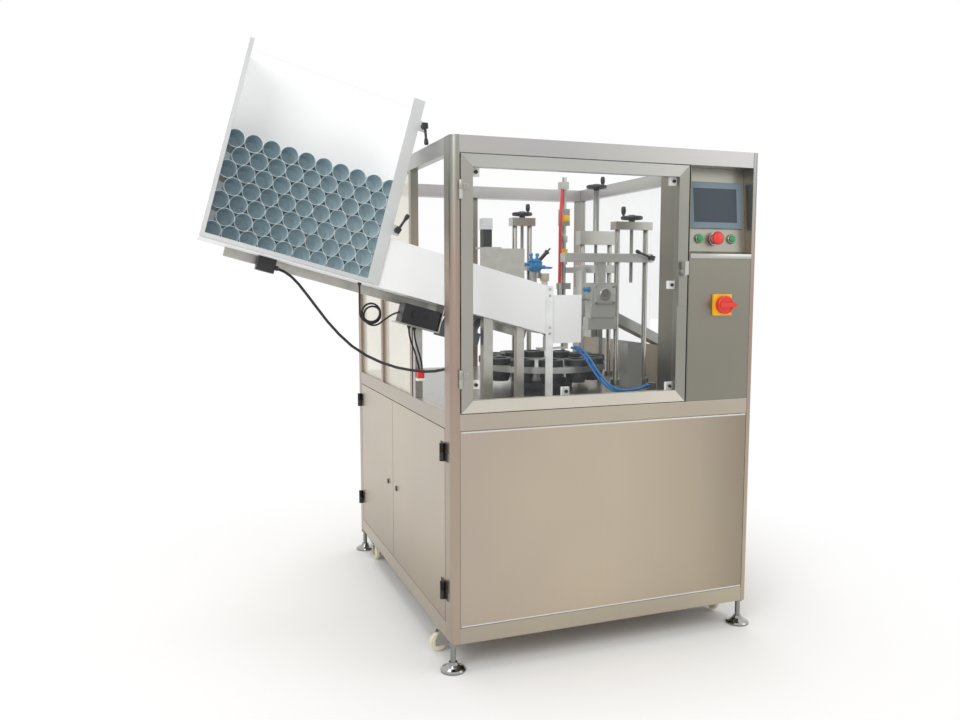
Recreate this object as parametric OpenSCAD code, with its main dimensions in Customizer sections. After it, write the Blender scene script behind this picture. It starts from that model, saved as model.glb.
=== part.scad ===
// Rotary tube filling machine: cabinet on levelling feet, tilted tube hopper with
// feed chute, indexing turntable and three hand-adjusted stations behind a glazed door.
// Modelled with x across the front, y into the depth and z up from the floor.

/* [Frame] */
// Width of the cabinet frame
frame_w = 984; // [940:1:1040]
// Depth of the cabinet frame
frame_d = 1200; // [1160:1:1260]
// Height of the cabinet frame above its feet
frame_h = 1390; // [1360:1:1450]
// Width of a corner post, across the front
post_w = 24; // [24:1:30]
// Depth of a corner post, along the side
post_d = 60; // [50:1:70]
// Outer corner radius of a corner post
post_r = 20; // [12:1:20]
// Wall of the frame tubes
tube_wall = 2; // [1.5:0.5:3]
// Height of the frame rails
rail_h = 46; // [40:1:50]
// Height of the frame's underside above the floor
foot_h = 85; // [84:1:100]
// Top of the work deck above the frame's underside
deck_h = 646; // [620:1:660]
// Thickness of the work deck
deck_t = 12; // [8:1:16]

/* [Panels] */
// Thickness of the sheet panels
sheet_t = 2; // [1.5:0.5:3]
// Depth of the folded edges of a panel
pan_depth = 20; // [15:1:26]
// Gap round a bolted panel
panel_gap = 0.5; // [0.3:0.1:0.9]
// Gap round a hinged lower door
door_gap = 3; // [2:0.5:4]
// Thickness of the clear panes
pane_t = 5; // [4:1:8]
// Set-back of the fixed panes from the outer face
pane_inset = 8; // [4:1:12]
// Side of the square tube between two panes
bay_tube = 24; // [20:1:24]
// Front face of the post behind the feed bay
bay_y = -206; // [-209:1:-190]
// Front face of the post between the two left panes
mullion_y = 180; // [150:1:240]
// Where the two lower left doors meet
door_split = 50; // [0:1:100]

/* [Front door] */
// Width of the front door's frame members
stile_w = 34; // [28:1:40]
// Thickness of the front door
door_t = 24; // [20:1:30]
// Gap between the front door and the hinge post
leaf_gap = 4; // [3.5:0.5:6]
// Gap between the front door and the rails
door_rail_gap = 2; // [1.5:0.5:3]
// Set-back of the door's pane from the door's front
door_pane_inset = 10; // [6:1:12]
// Side of a square pane clip
clip_w = 24; // [18:1:28]
// Thickness of a pane clip
clip_t = 8; // [6:1:9]
// Height of the latch above the deck
latch_h = 387; // [300:1:450]

/* [Hinges] */
// Radius of a front door hinge knuckle
knuckle_r = 6; // [5.5:0.5:6.5]
// Radius of a lower door hinge knuckle
side_knuckle_r = 8; // [7:0.5:9]
// Height of a hinge
hinge_h = 50; // [40:1:60]
// Distance of a hinge from the end of its door
hinge_inset = 70; // [50:1:100]
// Distance of a lower door's upper hinge from the door's top
side_hinge_top = 40; // [30:1:80]

/* [Operator column] */
// Width of the operator column, from the right post
column_w = 221; // [212:1:240]
// Depth of the operator column
column_d = 160; // [140:1:200]
// Height of the recess that holds the screen
recess_h = 259; // [250:1:290]
// Depth of the recess at its ledge
recess_d = 28; // [20:1:40]
// Rise of the ledge towards the back
ledge_rise = 10; // [5:1:15]
// Backward lean of the operator panel
panel_lean = 5; // [2:1:8]
// Width of the touch screen's bezel
screen_w = 192; // [170:1:200]
// Height of the touch screen's bezel
screen_h = 139; // [120:1:146]
// Middle of the touch screen above the ledge
screen_up = 138; // [134:1:145]
// Row of buttons above the ledge
button_up = 38; // [34:1:44]
// Diameter of a push button's mounting hole
button_d = 22.4; // [22.4:0.1:24]
// Diameter of the emergency stop's mushroom head
estop_d = 40; // [34:1:40]
// Travel of a push button
press_travel = 4; // [3:0.5:5]
// Side of the main switch's plate
switch_w = 64; // [56:1:70]
// Height of the main switch above the deck
switch_up = 289; // [240:1:340]

/* [Turntable] */
// Turntable axis, left to right
table_x = 0; // [-10:1:10]
// Turntable axis, front to back
table_y = -100; // [-104:1:-96]
// Radius of the turntable disc
table_r = 215; // [212:1:220]
// Thickness of the turntable disc
disc_t = 20; // [14:1:24]
// Underside of the disc above the deck
disc_up = 65; // [58:1:68]
// Number of tube cups
cup_count = 12; // [8:1:12]
// Radius of the circle of cups
cup_ring_r = 178; // [172:1:182]
// Outer radius of a cup where it passes the disc
cup_r = 30; // [28:1:32]
// Radius of a cup's top flange
cup_flange_r = 40; // [36:1:42]
// Radius of the turntable shaft
shaft_r = 25; // [20:1:28]

/* [Stations] */
// Radius of a station's guide rods
rod_r = 9; // [8:0.5:10]
// Radius of a lead screw
screw_r = 6; // [5:0.5:7]
// Radius of a handwheel's rim
wheel_r = 38; // [34:1:44]
// Height of a carriage block
carriage_h = 30; // [26:1:36]
// Depth of a carriage block
carriage_d = 36; // [30:1:40]

/* [Feed] */
// Slope of the hopper and chute
feed_tilt = 15.5; // [14:0.5:16.5]
// Outer width of the hopper
hopper_w = 497; // [494:1:540]
// Height of the hopper
hopper_h = 540; // [520:1:580]
// Height of the clear front pane
hopper_pane_h = 512; // [490:1:518]
// Height of the chute walls
chute_h = 140; // [120:1:150]
// Thickness of the feed sheets
feed_t = 4; // [3:0.5:5]
// Front face of the feed
feed_y = -372; // [-376:1:-369]
// Depth of the feed, front to back
feed_depth = 160; // [158:1:161]
// Hopper's lower right corner, left of the cabinet's side
feed_out = 146; // [130:1:160]
// Hopper's lower right corner above the deck
feed_up = 348; // [340:1:356]
// Gate under the hopper's right wall
gate_h = 62; // [54:1:80]

/* [Tubes] */
// Radius of an empty tube
tube_r = 24; // [20:0.5:24]
// Length of an empty tube
tube_len = 148; // [130:1:148]
// Wall of an empty tube
tube_skin = 0.8; // [0.6:0.1:1.2]
// Rows of tubes lying in the hopper
tube_rows = 7; // [5:1:9]

/* [Feet and castors] */
// Radius of a levelling foot
foot_r = 36; // [30:1:40]
// Radius of a foot's stem
stem_r = 8; // [6:0.5:9]
// Radius of a castor wheel
castor_r = 27; // [24:1:28]
// Width of a castor wheel
castor_w = 22; // [18:1:24]
// Distance of the castors from the corner posts
castor_in = 130; // [110:1:160]
// Turn of the front left castor as it stands, 0 with the wheel to the front and 90 to the left
left_turn = 90; // [0:15:180]

/* [Hidden] */
$fn = 48;

// Clearances: shaft in a bore, sliding or turning faces, faces of fixed pieces
run = 0.05;
slip = 0.3;
seat = 0.2;
joint_gap = 0.05;

// Faces and levels of the frame
fx = frame_w / 2;
fy = frame_d / 2;
ix = fx - post_w;
iy = fy - post_d;
z_low = foot_h;
z_base = z_low + rail_h;
z_deck = z_low + deck_h;
z_sill = z_deck - rail_h;
z_top = z_low + frame_h;
z_head = z_top - rail_h;

// Operator column
col_x = ix - column_w;
col_back = -fy + column_d;
ledge_z = z_head - recess_h;
lean_y = -fy + recess_d;
lean_z = ledge_z + ledge_rise;
buttons_x = col_x + 53;
estop_x = col_x + 109;
reset_x = col_x + 168;
screen_x = (col_x + sheet_t + ix) / 2;
switch_x = col_x + 117;
switch_plate_t = 8;
knob_t = 10;
grip_t = 18;
switch_proud = switch_plate_t + knob_t + grip_t;
collar_t = 7;
cap_r = button_d / 2 - 1.6;

// Front door and its hinge axis
door_x0 = -ix + leaf_gap;
door_x1 = col_x - leaf_gap;
door_z0 = z_deck + door_rail_gap;
door_z1 = z_head - door_rail_gap;
leaf_t = 2;
hinge_x = -ix + 1;
hinge_y = -fy - knuckle_r - 0.5;
pin_r = 3;
side_pin_r = 4;
side_leaf_t = 3;
side_hinge_x = -fx - side_knuckle_r - 0.5;
side_hinge_y = iy + 1;
latch_x = door_x1 - stile_w / 2;
latch_z = z_deck + latch_h;

// Turntable and drive levels
disc_z = z_deck + disc_up;
disc_top = disc_z + disc_t;
cup_top = disc_top + 22;
pedestal_h = 21;
drive_h = 150;
drive_top = z_deck - deck_t;
drive_z = drive_top - drive_h;
input_z = drive_z + 71;
drive_w = 180;
drive_d = 220;
drive_back = table_y + drive_d / 2;
input_r = 10;
bracket_y = drive_back + 60;
bracket_t = 8;
gearbox_d = 92;
motor_len = 210;

// Stations: axis, rod spacing, underside of the head, height of the head, handwheel, carriage
function cup_at(a) = [table_x + cup_ring_r * cos(a), table_y + cup_ring_r * sin(a)];
press_cup = cup_at(75);
fill_cup = cup_at(45);
heat_cup = cup_at(15);
crimp_cup = cup_at(-15);
load_cup = cup_at(-105);
press_at = [press_cup[0] + 6, table_y + 300];
heat_at = [table_x + 310, table_y + 200];
crimp_at = [table_x + 318, crimp_cup[1]];
press_gap = 60;
heat_gap = 116;
crimp_gap = 112;
press_head = z_deck + 564;
heat_head = z_deck + 494;
crimp_head = z_deck + 536;
press_head_h = 30;
heat_head_h = 50;
crimp_head_h = 27;
heat_spindle = 150;
press_z = z_deck + 399;
heat_z = z_deck + 389;
crimp_z = z_deck + 424;
screw_below = 70;
head_d = 40;
bar_x0 = table_x + 54;
bar_x1 = crimp_at[0] + crimp_gap / 2 + 20;
crimp_block_z = z_deck + 194;
crimp_block_h = 160;
crimp_block_w = 92;
jaw_w = 20;
jaw_h = 25;
jaw_gap = 4;

// Valve stand beside the turntable
stand_at = [table_x + 165, table_y + 175];
stand_r = 8;
nozzle_z = z_deck + 169;

// Feed frame: u down the slope, v square to it, from the hopper's lower right corner
feed_x = -fx - feed_out;
feed_z = z_deck + feed_up;
feed_back = feed_y + feed_depth;
feed_end = load_cup[0] - 54;
plate_end = load_cup[0] + 58;
beam_w = 25;
beam_h = 25;
beam_y = feed_back - 30;
bar_t = 6;
bar_w = 33;
edge_w = 12;
lug_w = 22;
lever_up_v = 470;
lever_low_v = 165;

// Tube loader at the chute's end
cradle_r = 28;
cradle_in_r = 25;
cradle_z = z_deck + 207;
cradle_axis_z = cradle_z - 32;
cradle_axis_y = load_cup[1] - 32;
cradle_pin_r = 5;
ear_t = 4;
ear_w = 76;
ear_x = load_cup[0] - ear_w / 2;

// Tube sensor on the plate behind the chute
sensor_x = feed_end - 124;
sensor_y = feed_back + 62;
sensor_z = z_deck + 464;
plate_t = 4;

// Pitch of the lying tubes, and how many fit side by side
tube_pitch = 2 * tube_r + 0.4;
row_rise = tube_pitch * sqrt(3) / 2;
row_inner = hopper_w - 2 * feed_t;
row_count = floor((row_inner - 2 * seat) / tube_pitch);

// Castors
castor_x = fx - 25;
castor_y = iy - castor_in + 30;
castor_plate_t = 6;
castor_plate_z = z_low - castor_plate_t;
kingpin_r = 6;
axle_r = 4;
axle_z = castor_r + 4;
trail = 16;
fork_gap = castor_w / 2 + 1;
fork_t = 3;

// The origin is under the middle of the whole machine
hopper_left = feed_x - hopper_w * cos(feed_tilt) - feed_t * sin(feed_tilt);
foot_reach = [ix + post_w / 2 + foot_r, iy + post_d / 2 + foot_r];
shift = [-(hopper_left + foot_reach[0]) / 2, (fy + switch_proud - foot_reach[1]) / 2, 0];

// Cord routes, in round numbers
cable_r = 4;
cable_route = [
  [-903, -285, 1125], [-886, -286, 1117], [-868, -288, 1104], [-848, -292, 1082], [-826, -298, 1052],
  [-800, -305, 1015], [-772, -312, 976], [-740, -320, 938], [-705, -328, 904], [-665, -338, 876],
  [-625, -352, 856], [-585, -372, 842], [-548, -398, 835], [-518, -430, 833], [-496, -464, 837],
  [-484, -496, 844], [-480, -526, 850]
];
hose_r = 4;
air_route = [
  [3, -318, 879], [14, -321, 877], [28, -326, 868], [42, -332, 852], [56, -338, 830], [70, -344, 806],
  [86, -350, 782], [104, -356, 761], [124, -361, 746], [146, -364, 738], [170, -364, 736],
  [194, -360, 736], [214, -353, 737], [232, -347, 739], [248, -344, 742], [262, -343, 744], [275, -343, 744]
];
hose_end = air_route[len(air_route) - 1];
product_r = 6;
product_route = [
  [150, 60, 1420.8], [150, 60, 1408], [147, 56, 1390], [141, 48, 1368], [136, 41, 1340], [132, 36, 1300],
  [130, 33, 1255], [129, 31, 1205], [128, 29, 1160], [126.5, 26.5, 1120], [126, 26, 1100], [126, 26, 1082.2]
];

// Helpers

// Box between two values on each axis
module span(x, y, z) {
  translate([x[0], y[0], z[0]]) cube([x[1] - x[0], y[1] - y[0], z[1] - z[0]]);
}

// Square tube between two values on each axis, open along one of them
module tube_bar(x, y, z, along) {
  k = tube_wall;
  ex = along == "x" ? -1 : k;
  ey = along == "y" ? -1 : k;
  ez = along == "z" ? -1 : k;
  difference() {
    span(x, y, z);
    span([x[0] + ex, x[1] - ex], [y[0] + ey, y[1] - ey], [z[0] + ez, z[1] - ez]);
  }
}

// Puts a piece of the +x +y corner in any corner
module corner(sx, sy) {
  if (sx < 0 && sy < 0) rotate([0, 0, 180]) children();
  else if (sx < 0) mirror([1, 0, 0]) children();
  else if (sy < 0) mirror([0, 1, 0]) children();
  else children();
}

module rod_z(p, r, h) {
  translate(p) cylinder(r = r, h = h);
}

module rod_y(p, r, h) {
  translate(p) rotate([-90, 0, 0]) cylinder(r = r, h = h);
}

module rod_x(p, r, h) {
  translate(p) rotate([0, 90, 0]) cylinder(r = r, h = h);
}

// Folded sheet panel: face at y = 0, edges folded towards +y
module pan(w, h) {
  difference() {
    cube([w, pan_depth, h]);
    translate([sheet_t, sheet_t, sheet_t]) cube([w - 2 * sheet_t, pan_depth, h - 2 * sheet_t]);
  }
}

// Member of a mitred frame: outer edge along x, width towards +y
module mitred(len, w, t) {
  g = joint_gap;
  linear_extrude(t) polygon([[g, 0], [len - g, 0], [len - w - g, w], [w + g, w]]);
}

// Frame of the leaning operator panel: z out of the panel, y up it
module on_panel(x, up) {
  translate([x, lean_y + up * sin(panel_lean), lean_z + up * cos(panel_lean)])
    rotate([90 - panel_lean, 0, 0]) children();
}

// Frame of the feed: x down the slope, z square to it
module on_feed() {
  translate([feed_x, 0, feed_z]) rotate([0, feed_tilt, 0]) children();
}

// Tube swept along a route of points
function unit(v) = v / norm(v);
function tangent(p, i) = unit(p[min(i + 1, len(p) - 1)] - p[max(i - 1, 0)]);
function side_of(t) = unit(cross(t, abs(t[2]) < 0.9 ? [0, 0, 1] : [0, 1, 0]));
module cord(p, r) {
  n = 8;
  rings = len(p);
  points = [
    for (i = [0 : rings - 1])
      let (t = tangent(p, i), a = side_of(t), b = cross(t, a))
        for (k = [0 : n - 1]) p[i] + r * (cos(360 * k / n) * a + sin(360 * k / n) * b)
  ];
  sides = [
    for (i = [0 : rings - 2], k = [0 : n - 1])
      [i * n + k, i * n + (k + 1) % n, (i + 1) * n + (k + 1) % n, (i + 1) * n + k]
  ];
  first = [for (k = [n - 1 : -1 : 0]) k];
  last = [for (k = [0 : n - 1]) (rings - 1) * n + k];
  polyhedron(points, concat(sides, [first, last]));
}

// Clamping lever: stud along -y from the origin, handle in the xz plane
module clamp_lever(arm, turn) {
  boss = 16;
  boss_t = 9;
  rod_y([0, -12, 0], boss / 2, 12);
  translate([0, -12, 0]) rotate([0, turn, 0]) {
    translate([-boss / 2, -boss_t, -boss / 2]) cube([boss, boss_t, boss]);
    translate([0, -boss_t / 2, boss / 2 - 1]) rotate_extrude()
      polygon([[0, 0], [4, 0], [3.5, arm - 20], [6, arm - 12], [6.5, arm - 4], [5, arm], [0, arm]]);
  }
}

// Frame

module post_profile(inset) {
  w = post_w - 2 * inset;
  d = post_d - 2 * inset;
  r = post_r - inset;
  translate([ix + inset, iy + inset]) {
    square([w - r, d]);
    square([w, d - r]);
    translate([w - r, d - r]) intersection() {
      circle(r = r);
      square(r);
    }
  }
}

module frame_posts() {
  cap_t = 4;
  color([0.72, 0.69, 0.63]) {
    for (sx = [-1, 1], sy = [-1, 1]) corner(sx, sy)
      difference() {
        translate([0, 0, z_low]) linear_extrude(frame_h) post_profile(0);
        translate([0, 0, z_low - 1]) linear_extrude(frame_h - cap_t + 1) post_profile(tube_wall);
      }
    for (y = [bay_y, mullion_y]) tube_bar([-fx, -ix], [y, y + bay_tube], [z_deck, z_head], "z");
    tube_bar([ix, fx], [col_back, col_back + bay_tube], [z_deck, z_head], "z");
    tube_bar([-bay_tube / 2, bay_tube / 2], [fy - bay_tube, fy], [z_deck, z_head], "z");
  }
}

module frame_rails() {
  color([0.72, 0.69, 0.63])
    for (z = [z_low, z_sill, z_head]) {
      tube_bar([-ix, ix], [-fy, -iy], [z, z + rail_h], "x");
      tube_bar([-ix, ix], [iy, fy], [z, z + rail_h], "x");
      tube_bar([-fx, -ix], [-iy, iy], [z, z + rail_h], "y");
      tube_bar([ix, fx], [-iy, iy], [z, z + rail_h], "y");
    }
}

module work_deck() {
  color([0.7, 0.69, 0.66]) difference() {
    span([-ix, ix], [-iy, iy], [z_deck - deck_t, z_deck]);
    rod_z([table_x, table_y, z_deck - deck_t - 1], shaft_r + 15, deck_t + 2);
  }
}

module front_panel() {
  color([0.72, 0.68, 0.6])
    translate([-ix + panel_gap, -fy, z_base + panel_gap])
      pan(2 * (ix - panel_gap), z_sill - z_base - 2 * panel_gap);
}

module body_panels() {
  h = z_sill - z_base - 2 * panel_gap;
  z = z_base + panel_gap;
  color([0.72, 0.68, 0.6]) {
    translate([fx, -iy + panel_gap, z]) rotate([0, 0, 90]) pan(2 * (iy - panel_gap), h);
    translate([ix - panel_gap, fy, z]) rotate([0, 0, 180]) pan(2 * (ix - panel_gap), h);
    span([-ix, ix], [-iy, iy], [z_base - 3, z_base]);
    span([fx - pane_inset - pane_t, fx - pane_inset], [col_back + bay_tube, iy], [z_deck, outlet_sill - joint_gap]);
  }
}

// Outlet through the right pane: level of its sill and its height
outlet_y0 = table_y + 15;
outlet_y1 = table_y + 85;
outlet_tilt = 25;
outlet_x0 = table_x + 232;
outlet_z0 = z_deck + 245;
outlet_wall = 34;
function outlet_z(x) = outlet_z0 - (x - outlet_x0) * tan(outlet_tilt);
outlet_sill = outlet_z(fx - pane_inset) - sheet_t / cos(outlet_tilt);

module upper_panes() {
  z = [z_deck, z_head];
  left = [-fx + pane_inset, -fx + pane_inset + pane_t];
  right = [fx - pane_inset - pane_t, fx - pane_inset];
  back = [fy - pane_inset - pane_t, fy - pane_inset];
  mouth = [outlet_y0 - 8, outlet_y1 + 8];
  sill = outlet_sill;
  color([0.9, 0.93, 0.92, 0.4]) {
    span(left, [bay_y + bay_tube, mullion_y], z);
    span(left, [mullion_y + bay_tube, iy], z);
    span(right, [col_back + bay_tube, mouth[0] - joint_gap], [sill, z_head]);
    span(right, [mouth[1] + joint_gap, iy], [sill, z_head]);
    span(right, mouth, [sill + 95, z_head]);
    span([-ix, -bay_tube / 2], back, z);
    span([bay_tube / 2, ix], back, z);
  }
}

// Levelling feet and castors

module levelling_feet() {
  c = [ix + post_w / 2, iy + post_d / 2];
  plug_t = 12;
  boss_z = 26;
  color([0.8, 0.8, 0.8])
    for (sx = [-1, 1], sy = [-1, 1]) corner(sx, sy) {
      translate([0, 0, z_low]) linear_extrude(plug_t) post_profile(tube_wall + seat);
      rod_z([c[0], c[1], boss_z], stem_r, z_low - boss_z);
      difference() {
        translate([c[0], c[1], z_low - 12]) cylinder(r = 14, h = 11, $fn = 6);
        rod_z([c[0], c[1], z_low - 13], stem_r + seat, 13);
      }
      translate([c[0], c[1], 0]) rotate_extrude()
        polygon([[0, 0], [foot_r, 0], [foot_r, 5], [foot_r - 4, 9], [foot_r - 14, 13],
                 [15, 18], [12, boss_z], [0, boss_z]]);
    }
}

// Fork with its axle, kingpin end at the origin's axis, wheel trailing towards -y
module fork_cheeks(top) {
  for (s = [-1, 1])
    translate([s > 0 ? fork_gap : -fork_gap - fork_t, 0, 0])
      rotate([90, 0, 90]) linear_extrude(fork_t)
        polygon([[-12, top], [12, top], [2, axle_z - 8], [-trail - 12, axle_z - 8],
                 [-trail - 12, axle_z + 10]]);
  rod_x([-fork_gap - fork_t, -trail, axle_z], axle_r, 2 * (fork_gap + fork_t));
  rod_z([0, 0, top - 8], 20, 8);
}

module castor_brackets() {
  top = castor_plate_z - slip;
  color([0.75, 0.75, 0.74]) for (s = [-1, 1]) {
    difference() {
      span([s * castor_x - 24.5, s * castor_x + 24.5], [-castor_y - 35, -castor_y + 35], [castor_plate_z, z_low]);
      rod_z([s * castor_x, -castor_y, castor_plate_z - 1], kingpin_r + run, castor_plate_t + 2);
    }
    span([s * castor_x - 24.5, s * castor_x + 24.5], [castor_y - 35, castor_y + 35], [castor_plate_z, z_low]);
    translate([s * castor_x, castor_y, 0]) fork_cheeks(castor_plate_z);
  }
}

module castor_fork(s, turn = 0) {
  top = castor_plate_z - slip;
  color([0.75, 0.75, 0.74]) translate([s * castor_x, -castor_y, 0]) rotate([0, 0, -turn]) {
    fork_cheeks(top);
    rod_z([0, 0, top - 1], kingpin_r, castor_plate_t);
  }
}

module castor_wheel(s, y, turn = 0) {
  color([0.9, 0.87, 0.78])
    translate([s * castor_x, y, axle_z]) rotate([0, 0, -turn]) translate([0, -trail, 0]) rotate([0, 90, 0])
    rotate_extrude() polygon([
      [axle_r + run, -castor_w / 2], [castor_r - 9, -castor_w / 2], [castor_r - 9, -castor_w / 2 + 3],
      [castor_r - 3, -castor_w / 2 + 3], [castor_r, -castor_w / 2 + 6], [castor_r, castor_w / 2 - 6],
      [castor_r - 3, castor_w / 2 - 3], [castor_r - 9, castor_w / 2 - 3], [castor_r - 9, castor_w / 2],
      [axle_r + run, castor_w / 2]
    ]);
}

// Operator column

module column_shell() {
  z = [z_deck, z_head];
  color([0.66, 0.64, 0.59]) {
    span([col_x, col_x + sheet_t], [-fy, col_back], z);
    span([col_x + sheet_t + joint_gap, ix], [col_back - sheet_t, col_back], z);
    span([fx - sheet_t, fx], [-iy, col_back], z);
    difference() {
      span([col_x + sheet_t + joint_gap, ix], [-fy, -fy + sheet_t], [z_deck, ledge_z - sheet_t]);
      rod_y([switch_x, -fy - 1, z_deck + switch_up], 8, sheet_t + 2);
    }
  }
}

module operator_panel() {
  top_y = lean_y + (z_head - lean_z) * tan(panel_lean);
  collar_in = cap_r + slip;
  color([0.66, 0.64, 0.59]) difference() {
    translate([col_x + sheet_t, 0, 0]) rotate([90, 0, 90]) linear_extrude(column_w - sheet_t)
      polygon([[-fy, ledge_z], [lean_y, lean_z], [top_y, z_head], [top_y + sheet_t, z_head],
               [lean_y + sheet_t, lean_z - sheet_t], [-fy, ledge_z - sheet_t]]);
    for (x = [buttons_x, estop_x, reset_x]) on_panel(x, button_up)
      translate([0, 0, -10]) cylinder(d = button_d, h = 20);
    on_panel(screen_x, screen_up)
      translate([-screen_w / 2 + 6, -screen_h / 2 + 6, -10]) cube([screen_w - 12, screen_h - 12, 20]);
  }
  color([0.85, 0.85, 0.85]) for (x = [buttons_x, estop_x, reset_x]) on_panel(x, button_up)
    rotate_extrude() polygon([
      [collar_in, -25], [button_d / 2 - seat, -25], [button_d / 2 - seat, 0], [button_d / 2 + 3, 0],
      [button_d / 2 + 3, collar_t - 2], [button_d / 2 + 1, collar_t], [collar_in, collar_t]
    ]);
}

module touch_bezel() {
  rim = 19;
  color([0.45, 0.5, 0.56]) on_panel(screen_x, screen_up) difference() {
    union() {
      translate([-screen_w / 2, -screen_h / 2, 0]) cube([screen_w, screen_h, 7]);
      translate([-screen_w / 2 + 7, -screen_h / 2 + 7, -32]) cube([screen_w - 14, screen_h - 14, 33]);
    }
    translate([-screen_w / 2 + rim, -screen_h / 2 + rim, 4]) cube([screen_w - 2 * rim, screen_h - 2 * rim, 5]);
  }
}

module touch_screen() {
  rim = 19 + seat;
  color([0.2, 0.25, 0.3]) on_panel(screen_x, screen_up)
    translate([-screen_w / 2 + rim, -screen_h / 2 + rim, 4]) cube([screen_w - 2 * rim, screen_h - 2 * rim, 2]);
}

module push_button(x) {
  color([0.1, 0.6, 0.3]) on_panel(x, button_up) rotate_extrude()
    polygon([[0, -12], [cap_r, -12], [cap_r, 10], [cap_r - 1.5, 11.5], [0, 12]]);
}

module start_button() {
  push_button(buttons_x);
}

module reset_button() {
  push_button(reset_x);
}

module estop_button() {
  r = estop_d / 2;
  color([0.85, 0.2, 0.2]) on_panel(estop_x, button_up) rotate_extrude()
    polygon([[0, -12], [cap_r, -12], [cap_r, 13], [r - 3, 13], [r, 16], [r, 20], [r - 2, 24],
             [r - 6, 27], [r - 12, 28.5], [0, 29]]);
}

module switch_plate() {
  color([0.95, 0.75, 0.1]) difference() {
    translate([switch_x - switch_w / 2, -fy - switch_plate_t, z_deck + switch_up - switch_w / 2])
      cube([switch_w, switch_plate_t, switch_w]);
    rod_y([switch_x, -fy - switch_plate_t - 1, z_deck + switch_up], 5 + run, switch_plate_t + 2);
  }
}

module switch_knob() {
  y = -fy - switch_plate_t - slip;
  color([0.85, 0.1, 0.1]) translate([switch_x, y, z_deck + switch_up]) {
    rod_y([0, 0, 0], 5, switch_plate_t + 14);
    rod_y([0, -knob_t + slip, 0], 26, knob_t - slip);
    translate([-25, -knob_t - grip_t + slip, -7]) cube([50, grip_t + 1, 14]);
  }
}

// Front door, with knuckles that turn on the pins of the hinge posts

function hinge_levels(a, b) = [a + hinge_inset, b - hinge_inset - hinge_h];
function side_levels(a, b) = [a + hinge_inset, b - side_hinge_top - hinge_h];

module front_door_frame() {
  w = door_x1 - door_x0;
  h = door_z1 - door_z0;
  half = hinge_h / 2;
  color([0.75, 0.73, 0.68]) {
    translate([0, -fy + door_t, 0]) rotate([90, 0, 0]) {
      translate([door_x0, door_z0, 0]) mitred(w, stile_w, door_t);
      translate([door_x1, door_z1, 0]) rotate([0, 0, 180]) mitred(w, stile_w, door_t);
      difference() {
        translate([door_x1, door_z0, 0]) rotate([0, 0, 90]) mitred(h, stile_w, door_t);
        translate([latch_x, latch_z, -1]) cylinder(r = 5 + run, h = door_t + 2);
      }
      translate([door_x0, door_z1, 0]) rotate([0, 0, -90]) mitred(h, stile_w, door_t);
    }
    for (z = hinge_levels(door_z0, door_z1)) difference() {
      union() {
        rod_z([hinge_x, hinge_y, z + half + slip], knuckle_r, half - slip);
        span([hinge_x + 1 + slip, door_x0 + 24], [-fy - leaf_t, -fy], [z + half + slip, z + hinge_h]);
      }
      rod_z([hinge_x, hinge_y, z], pin_r + run, hinge_h + 1);
    }
    span([latch_x - 15, latch_x + 15], [-fy - 3, -fy], [latch_z - 100, latch_z - 14]);
  }
}

module front_door_pane() {
  y = -fy + door_pane_inset;
  color([0.93, 0.95, 0.95, 0.3])
    span([door_x0 + stile_w, door_x1 - stile_w], [y, y + pane_t], [door_z0 + stile_w, door_z1 - stile_w]);
}

module pane_clips() {
  y = -fy + door_pane_inset + pane_t;
  x0 = door_x0 + stile_w;
  x1 = door_x1 - stile_w - clip_w;
  z0 = door_z0 + stile_w;
  z1 = door_z1 - stile_w - clip_w;
  inset = 30;
  color([0.95, 0.95, 0.95])
    for (p = [[x0, z0 + inset], [x0, z1], [x1, z0], [x1, (z0 + z1) / 2], [x1, z1], [(x0 + x1) / 2 - 35, z0]])
      span([p[0], p[0] + clip_w], [y, y + clip_t], [p[1], p[1] + clip_w]);
}

module door_latch() {
  color([0.2, 0.2, 0.2]) translate([latch_x, -fy, latch_z]) {
    rod_y([0, -slip, 0], 5, door_t - 4);
    rod_y([0, -14, 0], 11, 14 - slip);
    translate([-6, -22, -9]) cube([12, 9, 40]);
  }
}

// Fixed halves of all the hinges, each with its pin
module hinge_posts() {
  half = hinge_h / 2;
  color([0.3, 0.3, 0.3]) {
    for (z = hinge_levels(door_z0, door_z1)) {
      rod_z([hinge_x, hinge_y, z], knuckle_r, half);
      rod_z([hinge_x, hinge_y, z], pin_r, hinge_h);
      span([-ix, hinge_x + 1], [hinge_y, -fy + 25], [z, z + half]);
    }
    for (s = [-1, 1], z = side_levels(z_base, z_sill)) {
      y = s * side_hinge_y;
      rod_z([side_hinge_x, y, z], side_knuckle_r, half);
      rod_z([side_hinge_x, y, z], side_pin_r, hinge_h);
      span([-fx - side_leaf_t, -fx], [min(y, y + s * 30), max(y, y + s * 30)], [z, z + half]);
    }
  }
}

// Lower left door between two levels on y, hinged at its end towards s
module lower_door(y0, y1, s) {
  half = hinge_h / 2;
  hy = s * side_hinge_y;
  z0 = z_base + door_rail_gap;
  z1 = z_sill - door_rail_gap;
  lock_y = s < 0 ? y1 - 50 : y0 + 60;
  lock_z = (z0 + z1) / 2 - 20;
  color([0.8, 0.76, 0.69]) {
    translate([-fx, y1, z0]) rotate([0, 0, -90]) pan(y1 - y0, z1 - z0);
    for (z = side_levels(z_base, z_sill)) difference() {
      union() {
        rod_z([side_hinge_x, hy, z + half + slip], side_knuckle_r, half - slip);
        span([-fx - side_leaf_t, -fx], [min(hy, hy - s * 34), max(hy, hy - s * 34)],
             [z + half + slip, z + hinge_h]);
      }
      rod_z([side_hinge_x, hy, z], side_pin_r + run, hinge_h + 1);
    }
    rod_x([-fx - 4, lock_y, lock_z], 9, 4);
  }
}

module lower_door_front() {
  lower_door(-iy + door_gap, door_split - door_gap / 2, -1);
}

module lower_door_rear() {
  lower_door(door_split + door_gap / 2, iy - door_gap, 1);
}

// Turntable and its drive

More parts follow.
